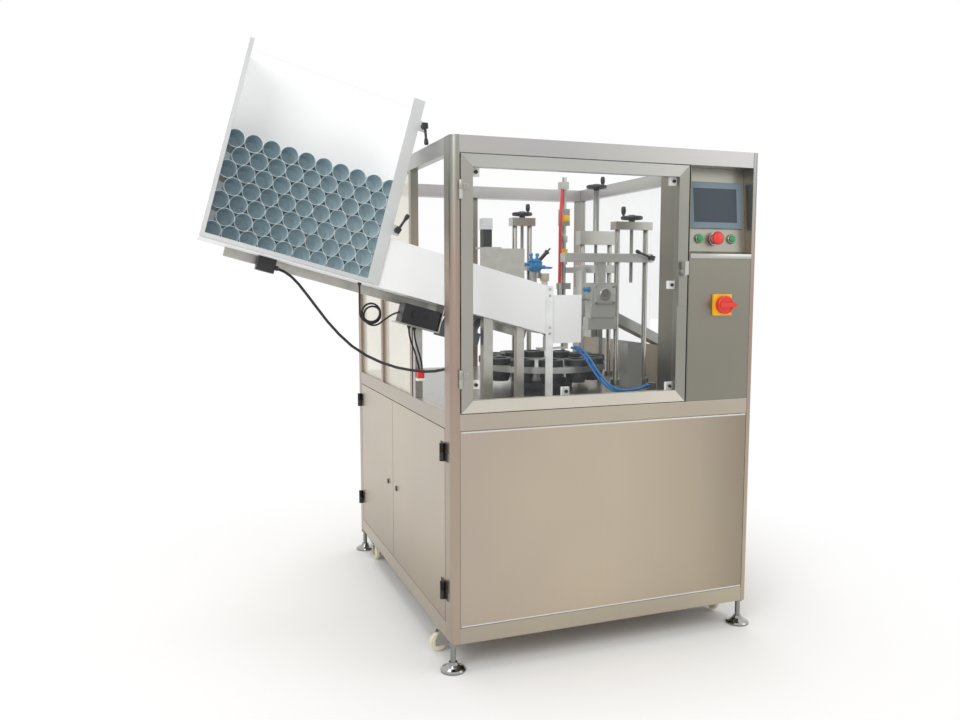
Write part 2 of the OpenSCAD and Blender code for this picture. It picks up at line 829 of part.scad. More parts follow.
module turntable() {
  color([0.78, 0.79, 0.8]) translate([table_x, table_y, 0]) difference() {
    union() {
      rod_z([0, 0, disc_z], table_r, disc_t);
      rod_z([0, 0, z_deck + pedestal_h + slip], 60, disc_z - z_deck - pedestal_h);
      rod_z([0, 0, drive_z + 31], shaft_r, disc_z - drive_z - 30);
    }
    for (k = [0 : cup_count - 1]) rotate([0, 0, 15 + 360 * k / cup_count])
      rod_z([cup_ring_r, 0, disc_z - 1], cup_r + seat, disc_t + 2);
  }
}

module tube_cups() {
  color([0.08, 0.08, 0.09]) translate([table_x, table_y, 0])
    for (k = [0 : cup_count - 1]) rotate([0, 0, 15 + 360 * k / cup_count]) translate([cup_ring_r, 0, 0])
      rotate_extrude() polygon([
        [tube_r + 0.6, cup_top], [cup_flange_r - 3, cup_top], [cup_flange_r, cup_top - 3],
        [cup_flange_r, disc_top], [cup_r, disc_top], [cup_r, disc_z], [cup_r + 5, disc_z],
        [cup_r + 5, disc_z - 14], [cup_r - 2, disc_z - 34], [0, disc_z - 34], [0, disc_z - 28],
        [tube_r + 0.6, disc_z - 28]
      ]);
}

module index_drive() {
  color([0.35, 0.37, 0.4]) {
    difference() {
      rod_z([table_x, table_y, z_deck], 105, pedestal_h);
      rod_z([table_x, table_y, z_deck - 1], shaft_r + run, pedestal_h + 2);
    }
    difference() {
      span([table_x - drive_w / 2, table_x + drive_w / 2], [table_y - drive_d / 2, drive_back], [drive_z, drive_top]);
      rod_z([table_x, table_y, drive_z + 30], shaft_r + run, drive_h);
      rod_y([table_x, drive_back - 30, input_z], input_r + run, 31);
    }
  }
}

module gear_motor() {
  y = bracket_y + bracket_t;
  color([0.3, 0.42, 0.55]) {
    difference() {
      span([table_x - 70, table_x + 70], [bracket_y, y], [drive_z, drive_top]);
      rod_y([table_x, bracket_y - 1, input_z], input_r + 4, bracket_t + 2);
    }
    difference() {
      union() {
        span([table_x - 55, table_x + 55], [y, y + gearbox_d], [input_z - 55, input_z + 55]);
        rod_y([table_x, y + gearbox_d - 1, input_z], 56, motor_len - 40);
        rod_y([table_x, y + gearbox_d + motor_len - 42, input_z], 60, 42);
        span([table_x + 40, table_x + 78], [y + gearbox_d + 40, y + gearbox_d + 120], [input_z - 35, input_z + 35]);
      }
      rod_y([table_x, y - 1, input_z], input_r + run, 31);
    }
  }
}

module drive_coupling() {
  color([0.6, 0.6, 0.62]) difference() {
    union() {
      rod_y([table_x, drive_back - 29, input_z], input_r, bracket_y + bracket_t + 28 - drive_back + 29);
      rod_y([table_x, drive_back + 3, input_z], 26, bracket_y - drive_back - 6);
    }
    for (a = [0, 90]) translate([table_x, drive_back + 28, input_z]) rotate([0, a, 0])
      span([14, 30], [0, 4], [-30, 30]);
  }
}

// Stations

module stand(at, gap, head_z, head_h) {
  for (s = [-1, 1]) {
    rod_z([at[0] + s * gap / 2, at[1], z_deck], rod_r, head_z - z_deck - joint_gap);
    rod_z([at[0] + s * gap / 2, at[1], z_deck], rod_r + 9, 18);
  }
  difference() {
    span([at[0] - gap / 2 - 16, at[0] + gap / 2 + 16], [at[1] - head_d / 2, at[1] + head_d / 2],
         [head_z, head_z + head_h]);
    rod_z([at[0], at[1], head_z - 1], screw_r + run, head_h + 2);
  }
}

module station_stands() {
  color([0.75, 0.75, 0.74]) {
    stand(press_at, press_gap, press_head, press_head_h);
    stand(heat_at, heat_gap, heat_head, heat_head_h);
    stand(crimp_at, crimp_gap, crimp_head, crimp_head_h);
  }
}

// Handwheel on its lead screw, with a crank grip on the rim
module handwheel(at, head_top, spindle, screw_end, turn) {
  hub_z = head_top + slip + spindle;
  rim_z = hub_z + 8;
  rim_r = wheel_r - 6;
  color([0.1, 0.1, 0.1]) translate([at[0], at[1], 0]) {
    difference() {
      union() {
        rod_z([0, 0, screw_end], screw_r, hub_z - screw_end + 1);
        rod_z([0, 0, head_top + slip], 11, spindle + 9);
        translate([0, 0, rim_z]) rotate_extrude() polygon([
          [0, 0], [14, 0], [14, 3], [rim_r - 4, 3], [rim_r - 2, 0], [wheel_r - 3, 0], [wheel_r, 3],
          [wheel_r, 9], [wheel_r - 3, 12], [rim_r - 2, 12], [rim_r - 4, 9], [14, 9], [12, 16], [0, 16]
        ]);
      }
      for (a = [60, 180, 300]) rotate([0, 0, a + turn]) rod_z([(rim_r + 10) / 2, 0, rim_z - 1], 6, 14);
    }
    rotate([0, 0, turn]) translate([wheel_r - 9, 0, rim_z + 12 + joint_gap]) rotate_extrude()
      polygon([[0, 0], [4, 0], [4, 5], [7, 8], [8.5, 18], [7.5, 30], [5, 33], [0, 33]]);
  }
}

module handwheel_press() {
  handwheel(press_at, press_head + press_head_h, 0, press_z - screw_below, 20);
}

module handwheel_heat() {
  handwheel(heat_at, heat_head + heat_head_h, heat_spindle, heat_z - screw_below, 10);
}

module handwheel_crimp() {
  handwheel(crimp_at, crimp_head + crimp_head_h, 0, crimp_z - screw_below, 160);
}

// Bores of a carriage for its two guide rods and its screw
module carriage_bores(at, gap, z, h) {
  for (s = [-1, 1]) rod_z([at[0] + s * gap / 2, at[1], z - 1], rod_r + run, h + 2);
  rod_z([at[0], at[1], z - 1], screw_r + run, h + 2);
}

module carriage_press() {
  tool_r = 20;
  color([0.7, 0.7, 0.7]) difference() {
    union() {
      span([press_at[0] - press_gap / 2 - 20, press_at[0] + press_gap / 2 + 20],
           [press_at[1] - carriage_d / 2, press_at[1] + carriage_d / 2], [press_z, press_z + carriage_h]);
      span([press_cup[0] - 12, press_cup[0] + 12], [press_cup[1] - 12, press_at[1]], [press_z, press_z + 20]);
      translate([press_cup[0], press_cup[1], press_z - 150]) cylinder(r1 = 10, r2 = tool_r, h = 20);
      rod_z([press_cup[0], press_cup[1], press_z - 130], tool_r, 70);
      rod_z([press_cup[0], press_cup[1], press_z - 61], 10, 62);
    }
    carriage_bores(press_at, press_gap, press_z, carriage_h);
  }
}

module carriage_heat() {
  arm_x = heat_cup[0] + 8;
  color([0.7, 0.7, 0.7]) difference() {
    union() {
      span([heat_at[0] - heat_gap / 2 - 20, heat_at[0] + heat_gap / 2 + 20],
           [heat_at[1] - carriage_d / 2, heat_at[1] + carriage_d / 2], [heat_z, heat_z + carriage_h]);
      span([arm_x, heat_at[0] - heat_gap / 2], [heat_at[1] - 12, heat_at[1] + 12], [heat_z, heat_z + 20]);
      span([arm_x, arm_x + 24], [heat_cup[1] - 12, heat_at[1] + 12], [heat_z, heat_z + 20]);
      rod_z([heat_cup[0], heat_cup[1], heat_z - 150], 24, 100);
      rod_z([heat_cup[0], heat_cup[1], heat_z - 51], 18, 60);
      rod_z([heat_cup[0], heat_cup[1], heat_z - 190], 15, 41);
    }
    carriage_bores(heat_at, heat_gap, heat_z, carriage_h);
  }
}

module carriage_crimp() {
  y = crimp_at[1];
  block = [crimp_cup[0] - 18, crimp_cup[0] - 18 + crimp_block_w];
  color([0.62, 0.63, 0.63]) difference() {
    union() {
      span([bar_x0, bar_x1], [y - carriage_d / 2, y + carriage_d / 2], [crimp_z, crimp_z + carriage_h]);
      span([block[0] + 30, block[0] + 60], [y - 10, y + 10], [crimp_block_z + crimp_block_h - 1, crimp_z + 1]);
      span(block, [y - 25, y + 25], [crimp_block_z + 40, crimp_block_z + crimp_block_h]);
      span([block[0] - 10, block[1] + 6], [y - 20, y + 20], [crimp_block_z, crimp_block_z + 41]);
    }
    carriage_bores(crimp_at, crimp_gap, crimp_z, carriage_h);
  }
}

module jaw(side) {
  x = crimp_cup[0] + side * (jaw_gap / 2 + jaw_w / 2);
  y = crimp_cup[1];
  color([0.8, 0.8, 0.78])
    span([x - jaw_w / 2, x + jaw_w / 2], [y - 28, y + 28],
         [crimp_block_z - slip - jaw_h, crimp_block_z - slip]);
}

module jaw_left() {
  jaw(-1);
}

module jaw_right() {
  jaw(1);
}

module arm_lever() {
  color([0.1, 0.1, 0.1])
    translate([bar_x1 - 12, crimp_at[1] - carriage_d / 2 - slip, crimp_z + carriage_h / 2]) clamp_lever(62, -70);
}

// Valve stand with the filling nozzle, and the deck's bulkhead fitting
module valve_stand() {
  to_cup = fill_cup - stand_at;
  reach = norm(to_cup);
  turn = atan2(to_cup[1], to_cup[0]);
  color([0.6, 0.62, 0.62]) {
    rod_z([stand_at[0], stand_at[1], z_deck], 25, 8);
    rod_z([stand_at[0], stand_at[1], z_deck], stand_r, 734);
    translate([stand_at[0] - 20, stand_at[1] - 20, z_deck + 330]) cube([40, 40, 22]);
    translate([stand_at[0], stand_at[1], z_deck + 332]) rotate([0, 0, turn]) translate([0, -8, 0]) cube([reach, 16, 18]);
    rod_z([fill_cup[0], fill_cup[1], nozzle_z + 30], 9, 152);
    translate([fill_cup[0], fill_cup[1], nozzle_z]) cylinder(r1 = 5, r2 = 9, h = 31);
    translate([stand_at[0] - 16, stand_at[1] - 16, z_deck + 560]) cube([32, 32, 60]);
    rod_z([stand_at[0], stand_at[1], z_deck + 500], 13, 24);
    rod_z([stand_at[0], stand_at[1], z_deck + 420], 13, 24);
    translate([stand_at[0] - 22, stand_at[1] - 22, z_deck + 690]) cube([30, 30, 26]);
    span([hose_end[0] + seat, hose_end[0] + 24], [hose_end[1] - 10, hose_end[1] + 10], [z_deck, z_deck + 26]);
  }
}

// Outlet chute for closed tubes, and the bin for trimmed tails
module outlet_trays() {
  w = outlet_y1 - outlet_y0;
  run_len = (fx - 2 - outlet_x0) / cos(outlet_tilt);
  bin = [table_x + 250, table_y - 152];
  bin_w = 56;
  bin_h = 150;
  leg_x = outlet_x0 + 12;
  color([0.72, 0.72, 0.71]) {
    difference() {
      translate([outlet_x0, outlet_y0, outlet_z0]) rotate([0, outlet_tilt, 0]) difference() {
        translate([0, 0, -sheet_t]) cube([run_len, w, outlet_wall]);
        translate([-1, sheet_t, 0]) cube([run_len + 2, w - 2 * sheet_t, outlet_wall]);
      }
      span([fx - 2, fx + 60], [outlet_y0 - 5, outlet_y1 + 5], [z_deck, outlet_z0 + 60]);
    }
    difference() {
      span([leg_x, leg_x + 14], [outlet_y0 + w / 2 - 7, outlet_y0 + w / 2 + 7], [z_deck, outlet_z0]);
      translate([outlet_x0, 0, outlet_z0]) rotate([0, outlet_tilt, 0])
        span([-60, 300], [outlet_y0 - 9, outlet_y1 + 9], [-sheet_t, 200]);
    }
    translate([bin[0], bin[1], z_deck]) difference() {
      cube([bin_w, bin_w, bin_h]);
      translate([sheet_t, sheet_t, sheet_t]) cube([bin_w - 2 * sheet_t, bin_w - 2 * sheet_t, bin_h]);
    }
  }
}

// Tube hopper and feed chute

module hopper_box() {
  inner = [feed_y + feed_t, feed_back - feed_t];
  front = [feed_y - bar_t, feed_y];
  color([0.92, 0.93, 0.94]) on_feed() {
    span([-hopper_w, -hopper_w + feed_t], inner, [0, hopper_h]);
    span([-feed_t, 0], inner, [gate_h, hopper_h]);
    span([-hopper_w, 0], [feed_back - feed_t, feed_back], [0, hopper_h]);
    span([-hopper_w, -hopper_w + edge_w], front, [0, hopper_h]);
    span([-hopper_w + edge_w, -bar_w], front, [0, edge_w]);
    span([-bar_w, 0], front, [0, hopper_h]);
    for (v = [lever_low_v, lever_up_v])
      translate([0, feed_y - bar_t, v - 14]) cube([lug_w, bar_t, 28]);
  }
}

module hopper_pane() {
  color([0.93, 0.95, 0.96, 0.3]) on_feed()
    span([-hopper_w, 0], [feed_y, feed_y + feed_t], [0, hopper_pane_h]);
}

// Cuts the feed off square to the floor where the loader starts
module trim_end() {
  difference() {
    children();
    span([feed_end, feed_end + 400], [feed_y - 50, feed_back + 50], [z_deck, z_top]);
  }
}

module chute() {
  color([0.93, 0.94, 0.95]) {
    trim_end() on_feed() span([-hopper_w, 760], [feed_y, feed_back], [-feed_t, 0]);
    trim_end() on_feed() span([seat, 760], [feed_y, feed_y + feed_t], [0, chute_h]);
    trim_end() on_feed() span([seat, 760], [feed_back - feed_t, feed_back], [0, chute_h]);
    span([feed_end + seat, plate_end], [feed_y, feed_y + feed_t], [z_deck + 168, z_deck + 317]);
  }
}

// Column from a level up to the underside of the sloping floor or beam
module feed_column(x, y, z, drop) {
  difference() {
    span(x, y, [z, z_top]);
    on_feed() span([-900, 1200], [feed_y - 90, feed_back + 90], [-drop, 900]);
  }
}

module chute_supports() {
  flat_w = 24;
  flat_x = feed_end - flat_w / 2;
  base_z = cradle_axis_z - 30;
  color([0.8, 0.8, 0.8]) {
    trim_end() on_feed() span([-420, 540], [beam_y, beam_y + beam_w], [-feed_t - beam_h, -feed_t]);
    feed_column([-fx, -ix], [beam_y, beam_y + 24], z_deck, feed_t + beam_h);
    feed_column([-305, -275], [feed_y + 26, feed_y + 56], z_deck, feed_t);
    feed_column([-194, -170], [feed_y + 30, feed_y + 54], z_deck, feed_t);
    span([flat_x, flat_x + flat_w], [feed_y - bar_t, feed_y], [z_deck, z_deck + 345]);
    on_feed() {
      span([85, 215], [feed_y + 4, feed_y + 76], [-88, -84]);
      span([211, 215], [feed_y + 4, feed_y + 76], [-84, -feed_t]);
    }
    span([sensor_x - 42, sensor_x + 110], [feed_back, feed_back + plate_t], [sensor_z - 130, sensor_z]);
    span([sensor_x - 30, sensor_x + 30], [feed_back, sensor_y + 24], [sensor_z, sensor_z + plate_t]);
    span([flat_x, ear_x + ear_t], [feed_y, cradle_axis_y + 3], [base_z, base_z + 6]);
    span([ear_x, ear_x + ear_w], [cradle_axis_y - 16, cradle_axis_y + 3], [base_z, base_z + 6]);
    for (x = [ear_x, ear_x + ear_w - ear_t]) difference() {
      span([x, x + ear_t], [cradle_axis_y - 16, cradle_axis_y + 12], [base_z, cradle_axis_z + 10]);
      rod_x([x - 1, cradle_axis_y, cradle_axis_z], cradle_pin_r + run, ear_t + 2);
    }
  }
}

// Trough that tips a tube upright over its cup
module loader_cradle() {
  x = load_cup[0];
  y0 = cradle_axis_y - 62;
  len = 116;
  pin_y = cradle_axis_y;
  color([0.85, 0.85, 0.84]) {
    translate([x, y0, cradle_z]) rotate([-90, 0, 0]) difference() {
      cylinder(r = cradle_r, h = len);
      translate([0, 0, -1]) cylinder(r = cradle_in_r, h = len + 2);
      translate([-40, -40, -1]) cube([80, 40, len + 2]);
    }
    difference() {
      rod_x([ear_x + 0.5, pin_y, cradle_axis_z], cradle_pin_r, 75);
      translate([x, y0 - 5, cradle_z]) rotate([-90, 0, 0]) cylinder(r = cradle_in_r + 1, h = len + 10);
    }
  }
}

// Vibrating drive under the chute: top plate, leaf springs, coil and counterweight
module feeder_drive() {
  y = [feed_y + 66, feed_y + 122];
  color([0.35, 0.36, 0.38]) on_feed() {
    span([240, 370], y, [-feed_t - 8, -feed_t]);
    for (u = [250, 346]) translate([u, y[0], -56]) rotate([0, 15, 0]) cube([4, y[1] - y[0], 46]);
    span([236, 366], y, [-92, -54]);
    rod_z([304, (y[0] + y[1]) / 2, -54], 18, 34);
  }
}

// Feeder controller on its shelf, and the level sensor's box with its cable glands
module feed_controls() {
  end = cable_route[len(cable_route) - 1];
  gland_gap = 1.5;
  color([0.25, 0.27, 0.29]) {
    on_feed() {
      span([95, 205], [feed_y + 6, feed_y + 70], [-84, -26]);
      rod_y([130, feed_y - 2, -52], 8, 8);
      rod_y([165, feed_y + 1, -52], 5, 5);
      span([-330, -280], [-310, -260], [-44, -feed_t]);
      rod_x([-280, -285, -26], 7, 11);
    }
    rod_y([end[0], -iy, end[2]], 7, end[1] + iy - gland_gap);
    span([sensor_x - 15, sensor_x + 15], [sensor_y - 15, sensor_y + 15], [sensor_z + plate_t, sensor_z + 62]);
    span([sensor_x - 17, sensor_x + 17], [sensor_y - 17, sensor_y + 17],
         [sensor_z + 62 + joint_gap, sensor_z + 98]);
  }
}

// One empty tube: open tail at the origin, cap towards +y
module empty_tube() {
  r = tube_r;
  k = tube_skin;
  cap_len = 16;
  shoulder = tube_len - cap_len - 8;
  rotate([-90, 0, 0]) rotate_extrude() polygon([
    [r - k, 0], [r, 0], [r, shoulder], [12, tube_len - cap_len], [12, tube_len], [0, tube_len],
    [0, tube_len - cap_len], [r - k, shoulder]
  ]);
}

module tube_charge() {
  y = feed_y + feed_t + 1;
  color([0.42, 0.52, 0.57]) on_feed() {
    for (row = [0 : tube_rows - 1]) {
      odd = row % 2;
      for (k = [0 : row_count - 1 - odd])
        translate([-hopper_w + feed_t + seat + tube_r + (k + odd / 2) * tube_pitch, y,
                   tube_r + seat + row * row_rise]) empty_tube();
    }
    for (k = [0 : 9]) translate([30 + k * tube_pitch, y, tube_r + seat]) empty_tube();
  }
}

module hopper_lever_upper() {
  color([0.1, 0.1, 0.1]) on_feed() translate([lug_w - 10, feed_y - bar_t - slip, lever_up_v]) clamp_lever(46, 160);
}

module hopper_lever_lower() {
  color([0.1, 0.1, 0.1]) on_feed() translate([lug_w - 10, feed_y - bar_t - slip, lever_low_v]) clamp_lever(46, 20);
}

module hopper_cable() {
  color([0.05, 0.05, 0.05]) cord(cable_route, cable_r);
}

module air_hose() {
  color([0.05, 0.35, 0.75]) cord(air_route, hose_r);
}

module product_hose() {
  color([0.8, 0.1, 0.15]) cord(product_route, product_r);
}

module placed() {
  translate(shift) children();
}

placed() frame_posts();
placed() frame_rails();
placed() work_deck();
placed() front_panel();
placed() body_panels();
placed() upper_panes();
placed() column_shell();
placed() operator_panel();
placed() touch_bezel();
placed() touch_screen();
placed() start_button();
placed() reset_button();
placed() estop_button();
placed() switch_plate();
placed() switch_knob();
placed() front_door_frame();
placed() front_door_pane();
placed() pane_clips();
placed() door_latch();
placed() hinge_posts();
placed() lower_door_front();
placed() lower_door_rear();
placed() levelling_feet();
placed() castor_brackets();
placed() castor_fork(-1, left_turn);  // castor_fork_left
placed() castor_fork(1);  // castor_fork_right
placed() castor_wheel(-1, -castor_y, left_turn);  // castor_wheel_front_left
placed() castor_wheel(1, -castor_y);  // castor_wheel_front_right
placed() castor_wheel(-1, castor_y);  // castor_wheel_rear_left
placed() castor_wheel(1, castor_y);  // castor_wheel_rear_right
placed() turntable();
placed() tube_cups();
placed() index_drive();
placed() gear_motor();
placed() drive_coupling();
placed() station_stands();
placed() handwheel_press();
placed() handwheel_heat();
placed() handwheel_crimp();
placed() carriage_press();
placed() carriage_heat();
placed() carriage_crimp();
placed() jaw_left();
placed() jaw_right();
placed() loader_cradle();
placed() hopper_box();
placed() hopper_pane();
placed() chute();
placed() chute_supports();
placed() feeder_drive();
placed() feed_controls();
placed() tube_charge();
placed() hopper_lever_upper();
placed() hopper_lever_lower();
placed() arm_lever();
placed() valve_stand();
placed() outlet_trays();
placed() hopper_cable();
placed() air_hose();
placed() product_hose();
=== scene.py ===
# %% [markdown]
# # Rotary tube filling machine
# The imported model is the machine's fixed frame: every sheet, post, wheel and joint already stands at its real
# place, in metres. This lesson dresses it: first the camera and the cords, then the studio, then the finishes,
# and last the small pieces that only show close up.

# %% Load the frame
import math

import bmesh
import bpy
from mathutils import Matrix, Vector


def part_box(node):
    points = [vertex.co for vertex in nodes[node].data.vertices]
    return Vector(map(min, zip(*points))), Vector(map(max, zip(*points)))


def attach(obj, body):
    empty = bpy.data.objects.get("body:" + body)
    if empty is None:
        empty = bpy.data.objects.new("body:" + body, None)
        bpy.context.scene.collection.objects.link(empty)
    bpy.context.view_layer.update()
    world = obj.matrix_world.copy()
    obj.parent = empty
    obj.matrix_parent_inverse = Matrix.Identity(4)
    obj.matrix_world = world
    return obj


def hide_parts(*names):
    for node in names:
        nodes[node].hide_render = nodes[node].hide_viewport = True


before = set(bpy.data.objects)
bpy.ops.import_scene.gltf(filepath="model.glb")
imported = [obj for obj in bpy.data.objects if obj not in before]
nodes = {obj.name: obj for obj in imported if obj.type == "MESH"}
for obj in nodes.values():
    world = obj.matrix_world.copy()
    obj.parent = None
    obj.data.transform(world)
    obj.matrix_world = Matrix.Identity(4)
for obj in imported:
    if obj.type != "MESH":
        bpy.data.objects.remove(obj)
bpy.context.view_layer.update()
bpy.ops.object.select_all(action="DESELECT")

# %% [markdown]
# ## Camera
# The photograph was taken by a person standing in front of the machine and to its left, with the lens a little
# above the screen. The camera's place and focal length were fitted to the cabinet's edges. The machine's middle
# is not the cabinet's middle, because the hopper stands out on the left, so cabinet places get a common shift.

# %% Place the camera
CABINET = Vector((0.300997, 0.015, 0.0))
EYE_MM, EYE_TILT, EYE_TURN = (-1189, -2716, 1095), 90 - 5.49, -20.2
FOCAL_PIXELS, PHOTO_PIXELS, SENSOR_MM = 835.1, 960, 36


def at(x, y, z):
    """Row-frame point, in metres, of a place given in millimetres from the cabinet's middle on the floor."""
    return CABINET + Vector((x, y, z)) / 1000


bpy.ops.object.camera_add(location=at(*EYE_MM), rotation=(math.radians(EYE_TILT), 0, math.radians(EYE_TURN)))
camera = bpy.context.object
camera.name = "studio_camera"
camera.data.sensor_width = SENSOR_MM
camera.data.lens = FOCAL_PIXELS / PHOTO_PIXELS * SENSOR_MM
bpy.context.scene.camera = camera
print("camera lens", round(camera.data.lens, 2), "mm")

# %% [markdown]
# ## Cords
# Three flexible lines show: the black sensor cable that hangs from the hopper to the near post, the blue air
# hose on the deck and the red product hose on the valve stand. Each is one smooth curve through the same route
# points as its solid, with a round section. The thin spare lines come later, with the pieces that they join.

# %% Cord curves
CABLE_ROUTE = [
    (-903, -285, 1125), (-886, -286, 1117), (-868, -288, 1104), (-848, -292, 1082), (-826, -298, 1052),
    (-800, -305, 1015), (-772, -312, 976), (-740, -320, 938), (-705, -328, 904), (-665, -338, 876),
    (-625, -352, 856), (-585, -372, 842), (-548, -398, 835), (-518, -430, 833), (-496, -464, 837),
    (-484, -496, 844), (-480, -526, 850),
]
AIR_ROUTE = [
    (3, -318, 879), (14, -321, 877), (28, -326, 868), (42, -332, 852), (56, -338, 830), (70, -344, 806),
    (86, -350, 782), (104, -356, 761), (124, -361, 746), (146, -364, 738), (170, -364, 736),
    (194, -360, 736), (214, -353, 737), (232, -347, 739), (248, -344, 742), (262, -343, 744), (275, -343, 744),
]
PRODUCT_ROUTE = [
    (150, 60, 1420.8), (150, 60, 1408), (147, 56, 1390), (141, 48, 1368), (136, 41, 1340), (132, 36, 1300),
    (130, 33, 1255), (129, 31, 1205), (128, 29, 1160), (126.5, 26.5, 1120), (126, 26, 1100), (126, 26, 1082.2),
]


def lay_cord(name, route, radius_mm, node=None, body="machine", roundness=4):
    """Curve of one open spline through a route. node is the CAD solid that it stands for."""
    data = bpy.data.curves.new(name, "CURVE")
    data.dimensions = "3D"
    # The bevel is one metre and each point scales it down, which keeps the curve's own box right.
    data.bevel_depth = 1
    data.bevel_resolution = roundness
    data.use_fill_caps = True
    spline = data.splines.new("POLY")
    spline.points.add(len(route) - 1)
    for point, place in zip(spline.points, route):
        point.co = (*at(*place), 1)
        point.radius = radius_mm / 1000
    spline.use_smooth = True
    cord = bpy.data.objects.new(name, data)
    bpy.context.collection.objects.link(cord)
    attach(cord, body)
    if node:
        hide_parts(node)
    return cord


sensor_cable = lay_cord("sensor_cable", CABLE_ROUTE, 4, "hopper_cable")
air_line = lay_cord("air_line", AIR_ROUTE, 4, "air_hose")
product_line = lay_cord("product_line", PRODUCT_ROUTE, 6, "product_hose")

# %% [markdown]
# ## Studio
# A pale floor and a white surround, lit by three large soft lamps. The world is white to the camera and to
# reflections, so that steel and glass show the same backdrop, and dimmer as a light, so that pale paint keeps
# its tone. Away from the machine the floor fades to the same white. A few helpers keep the node work short.

# %% Node helpers
def calc(tree, operation, first, second=0.0):
    """One step of arithmetic on values or sockets."""
    node = tree.nodes.new("ShaderNodeMath")
    node.operation = operation
    for socket, value in zip(node.inputs, (first, second)):
        if isinstance(value, (int, float)):
            socket.default_value = value
        else:
            tree.links.new(value, socket)
    return node.outputs[0]


def seen_ray(tree):
    """1 for rays from the camera and for rays that reach it by a reflection or through glass."""
    path = tree.nodes.new("ShaderNodeLightPath")
    direct = calc(tree, "MAXIMUM", path.outputs["Is Camera Ray"], path.outputs["Is Glossy Ray"])
    return calc(tree, "MAXIMUM", direct, path.outputs["Is Transmission Ray"])


def coordinate(tree, axis):
    """Place of a point along one axis of the frame, in metres."""
    coord = tree.nodes.new("ShaderNodeTexCoord")
    split = tree.nodes.new("ShaderNodeSeparateXYZ")
    tree.links.new(coord.outputs["Object"], split.inputs[0])
    return split.outputs[axis]


def mixed(tree, share, low, high):
    """Mix of two colour sockets."""
    node = tree.nodes.new("ShaderNodeMix")
    node.data_type = "RGBA"
    tree.links.new(share, node.inputs["Factor"])
    tree.links.new(low, node.inputs["A"])
    tree.links.new(high, node.inputs["B"])
    return node.outputs["Result"]


print("node helpers ready")

# %% Floor
FADE_FROM, FADE_TO = 0.75, 1.7
bpy.context.scene.view_settings.view_transform = "Standard"
bpy.ops.mesh.primitive_plane_add(size=40, location=(0, 0, 0))
floor = bpy.context.object
floor.name = "studio_floor"

floor_paint = bpy.data.materials.new("studio_floor_paint")
floor_paint.use_nodes = True
tree = floor_paint.node_tree
shade = tree.nodes["Principled BSDF"]
shade.inputs["Base Color"].default_value = (0.94, 0.94, 0.94, 1)
shade.inputs["Roughness"].default_value = 0.9
white = tree.nodes.new("ShaderNodeEmission")
white.inputs["Color"].default_value = (1, 1, 1, 1)
white.inputs["Strength"].default_value = 1
coord = tree.nodes.new("ShaderNodeTexCoord")
away = tree.nodes.new("ShaderNodeVectorMath")
away.operation = "DISTANCE"
away.inputs[1].default_value = (0.2, 0, 0)
fade = tree.nodes.new("ShaderNodeMapRange")
fade.interpolation_type = "SMOOTHSTEP"
fade.inputs["From Min"].default_value = FADE_FROM
fade.inputs["From Max"].default_value = FADE_TO
blend = tree.nodes.new("ShaderNodeMixShader")
tree.links.new(coord.outputs["Object"], away.inputs[0])
tree.links.new(away.outputs["Value"], fade.inputs["Value"])
tree.links.new(calc(tree, "MULTIPLY", seen_ray(tree), fade.outputs["Result"]), blend.inputs["Fac"])
tree.links.new(shade.outputs[0], blend.inputs[1])
tree.links.new(white.outputs[0], blend.inputs[2])
tree.links.new(blend.outputs[0], tree.nodes["Material Output"].inputs["Surface"])
floor.data.materials.append(floor_paint)
print("floor fades to white between", FADE_FROM, "and", FADE_TO, "m")

# %% World and lamps
world = bpy.data.worlds.new("studio_world")
bpy.context.scene.world = world
world.use_nodes = True
tree = world.node_tree
tree.nodes.clear()
out = tree.nodes.new("ShaderNodeOutputWorld")
mix = tree.nodes.new("ShaderNodeMixShader")
tree.links.new(seen_ray(tree), mix.inputs[0])
AS_LIGHT, AS_BACKDROP = ((1, 0.99, 0.97, 1), 0.62), ((1, 1, 1, 1), 1)
for socket, (colour, strength) in zip(mix.inputs[1:], (AS_LIGHT, AS_BACKDROP)):
    surround = tree.nodes.new("ShaderNodeBackground")
    surround.inputs["Color"].default_value = colour
    surround.inputs["Strength"].default_value = strength
    tree.links.new(surround.outputs[0], socket)
tree.links.new(mix.outputs[0], out.inputs["Surface"])

LAMPS = {  # place, aim, size in metres, power in watts
    "key_lamp": ((-3.2, -3.4, 3.6), (0.1, 0, 0.8), 2.6, 95),
    "fill_lamp": ((3.4, -2.6, 2.6), (0.2, 0, 0.8), 2.6, 24),
    "top_lamp": ((0.2, 0.4, 4.2), (0.2, 0, 0.7), 3.0, 70),
}
for name, (place, aim, size, power) in LAMPS.items():
    bpy.ops.object.light_add(type="AREA", location=place)
    lamp = bpy.context.object
    lamp.name = name
    lamp.data.shape = "SQUARE"
    lamp.data.size = size
    lamp.data.energy = power
    lamp.rotation_euler = (Vector(aim) - Vector(place)).to_track_quat("-Z", "Y").to_euler()
    lamp.visible_camera = False
print("studio ready, lamps:", list(LAMPS))

# %% [markdown]
# ## Shared surface effects
# Two effects return in most finishes. Brushing is a fine noise stretched along one axis, which breaks up the
# gloss of steel. Mottle is a broad, faint cloud that keeps a large sheet from looking printed. Both are node
# groups that read Object coordinates, so the pattern stays on its piece in every pose.

# %% Node groups
def new_group(name, inputs, outputs):
    group = bpy.data.node_groups.new(name, "ShaderNodeTree")
    for label, kind, value in inputs:
        socket = group.interface.new_socket(label, in_out="INPUT", socket_type=kind)
        socket.default_value = value
    for label, kind in outputs:
        group.interface.new_socket(label, in_out="OUTPUT", socket_type=kind)
    entry = group.nodes.new("NodeGroupInput")
    leave = group.nodes.new("NodeGroupOutput")
    return group, entry, leave


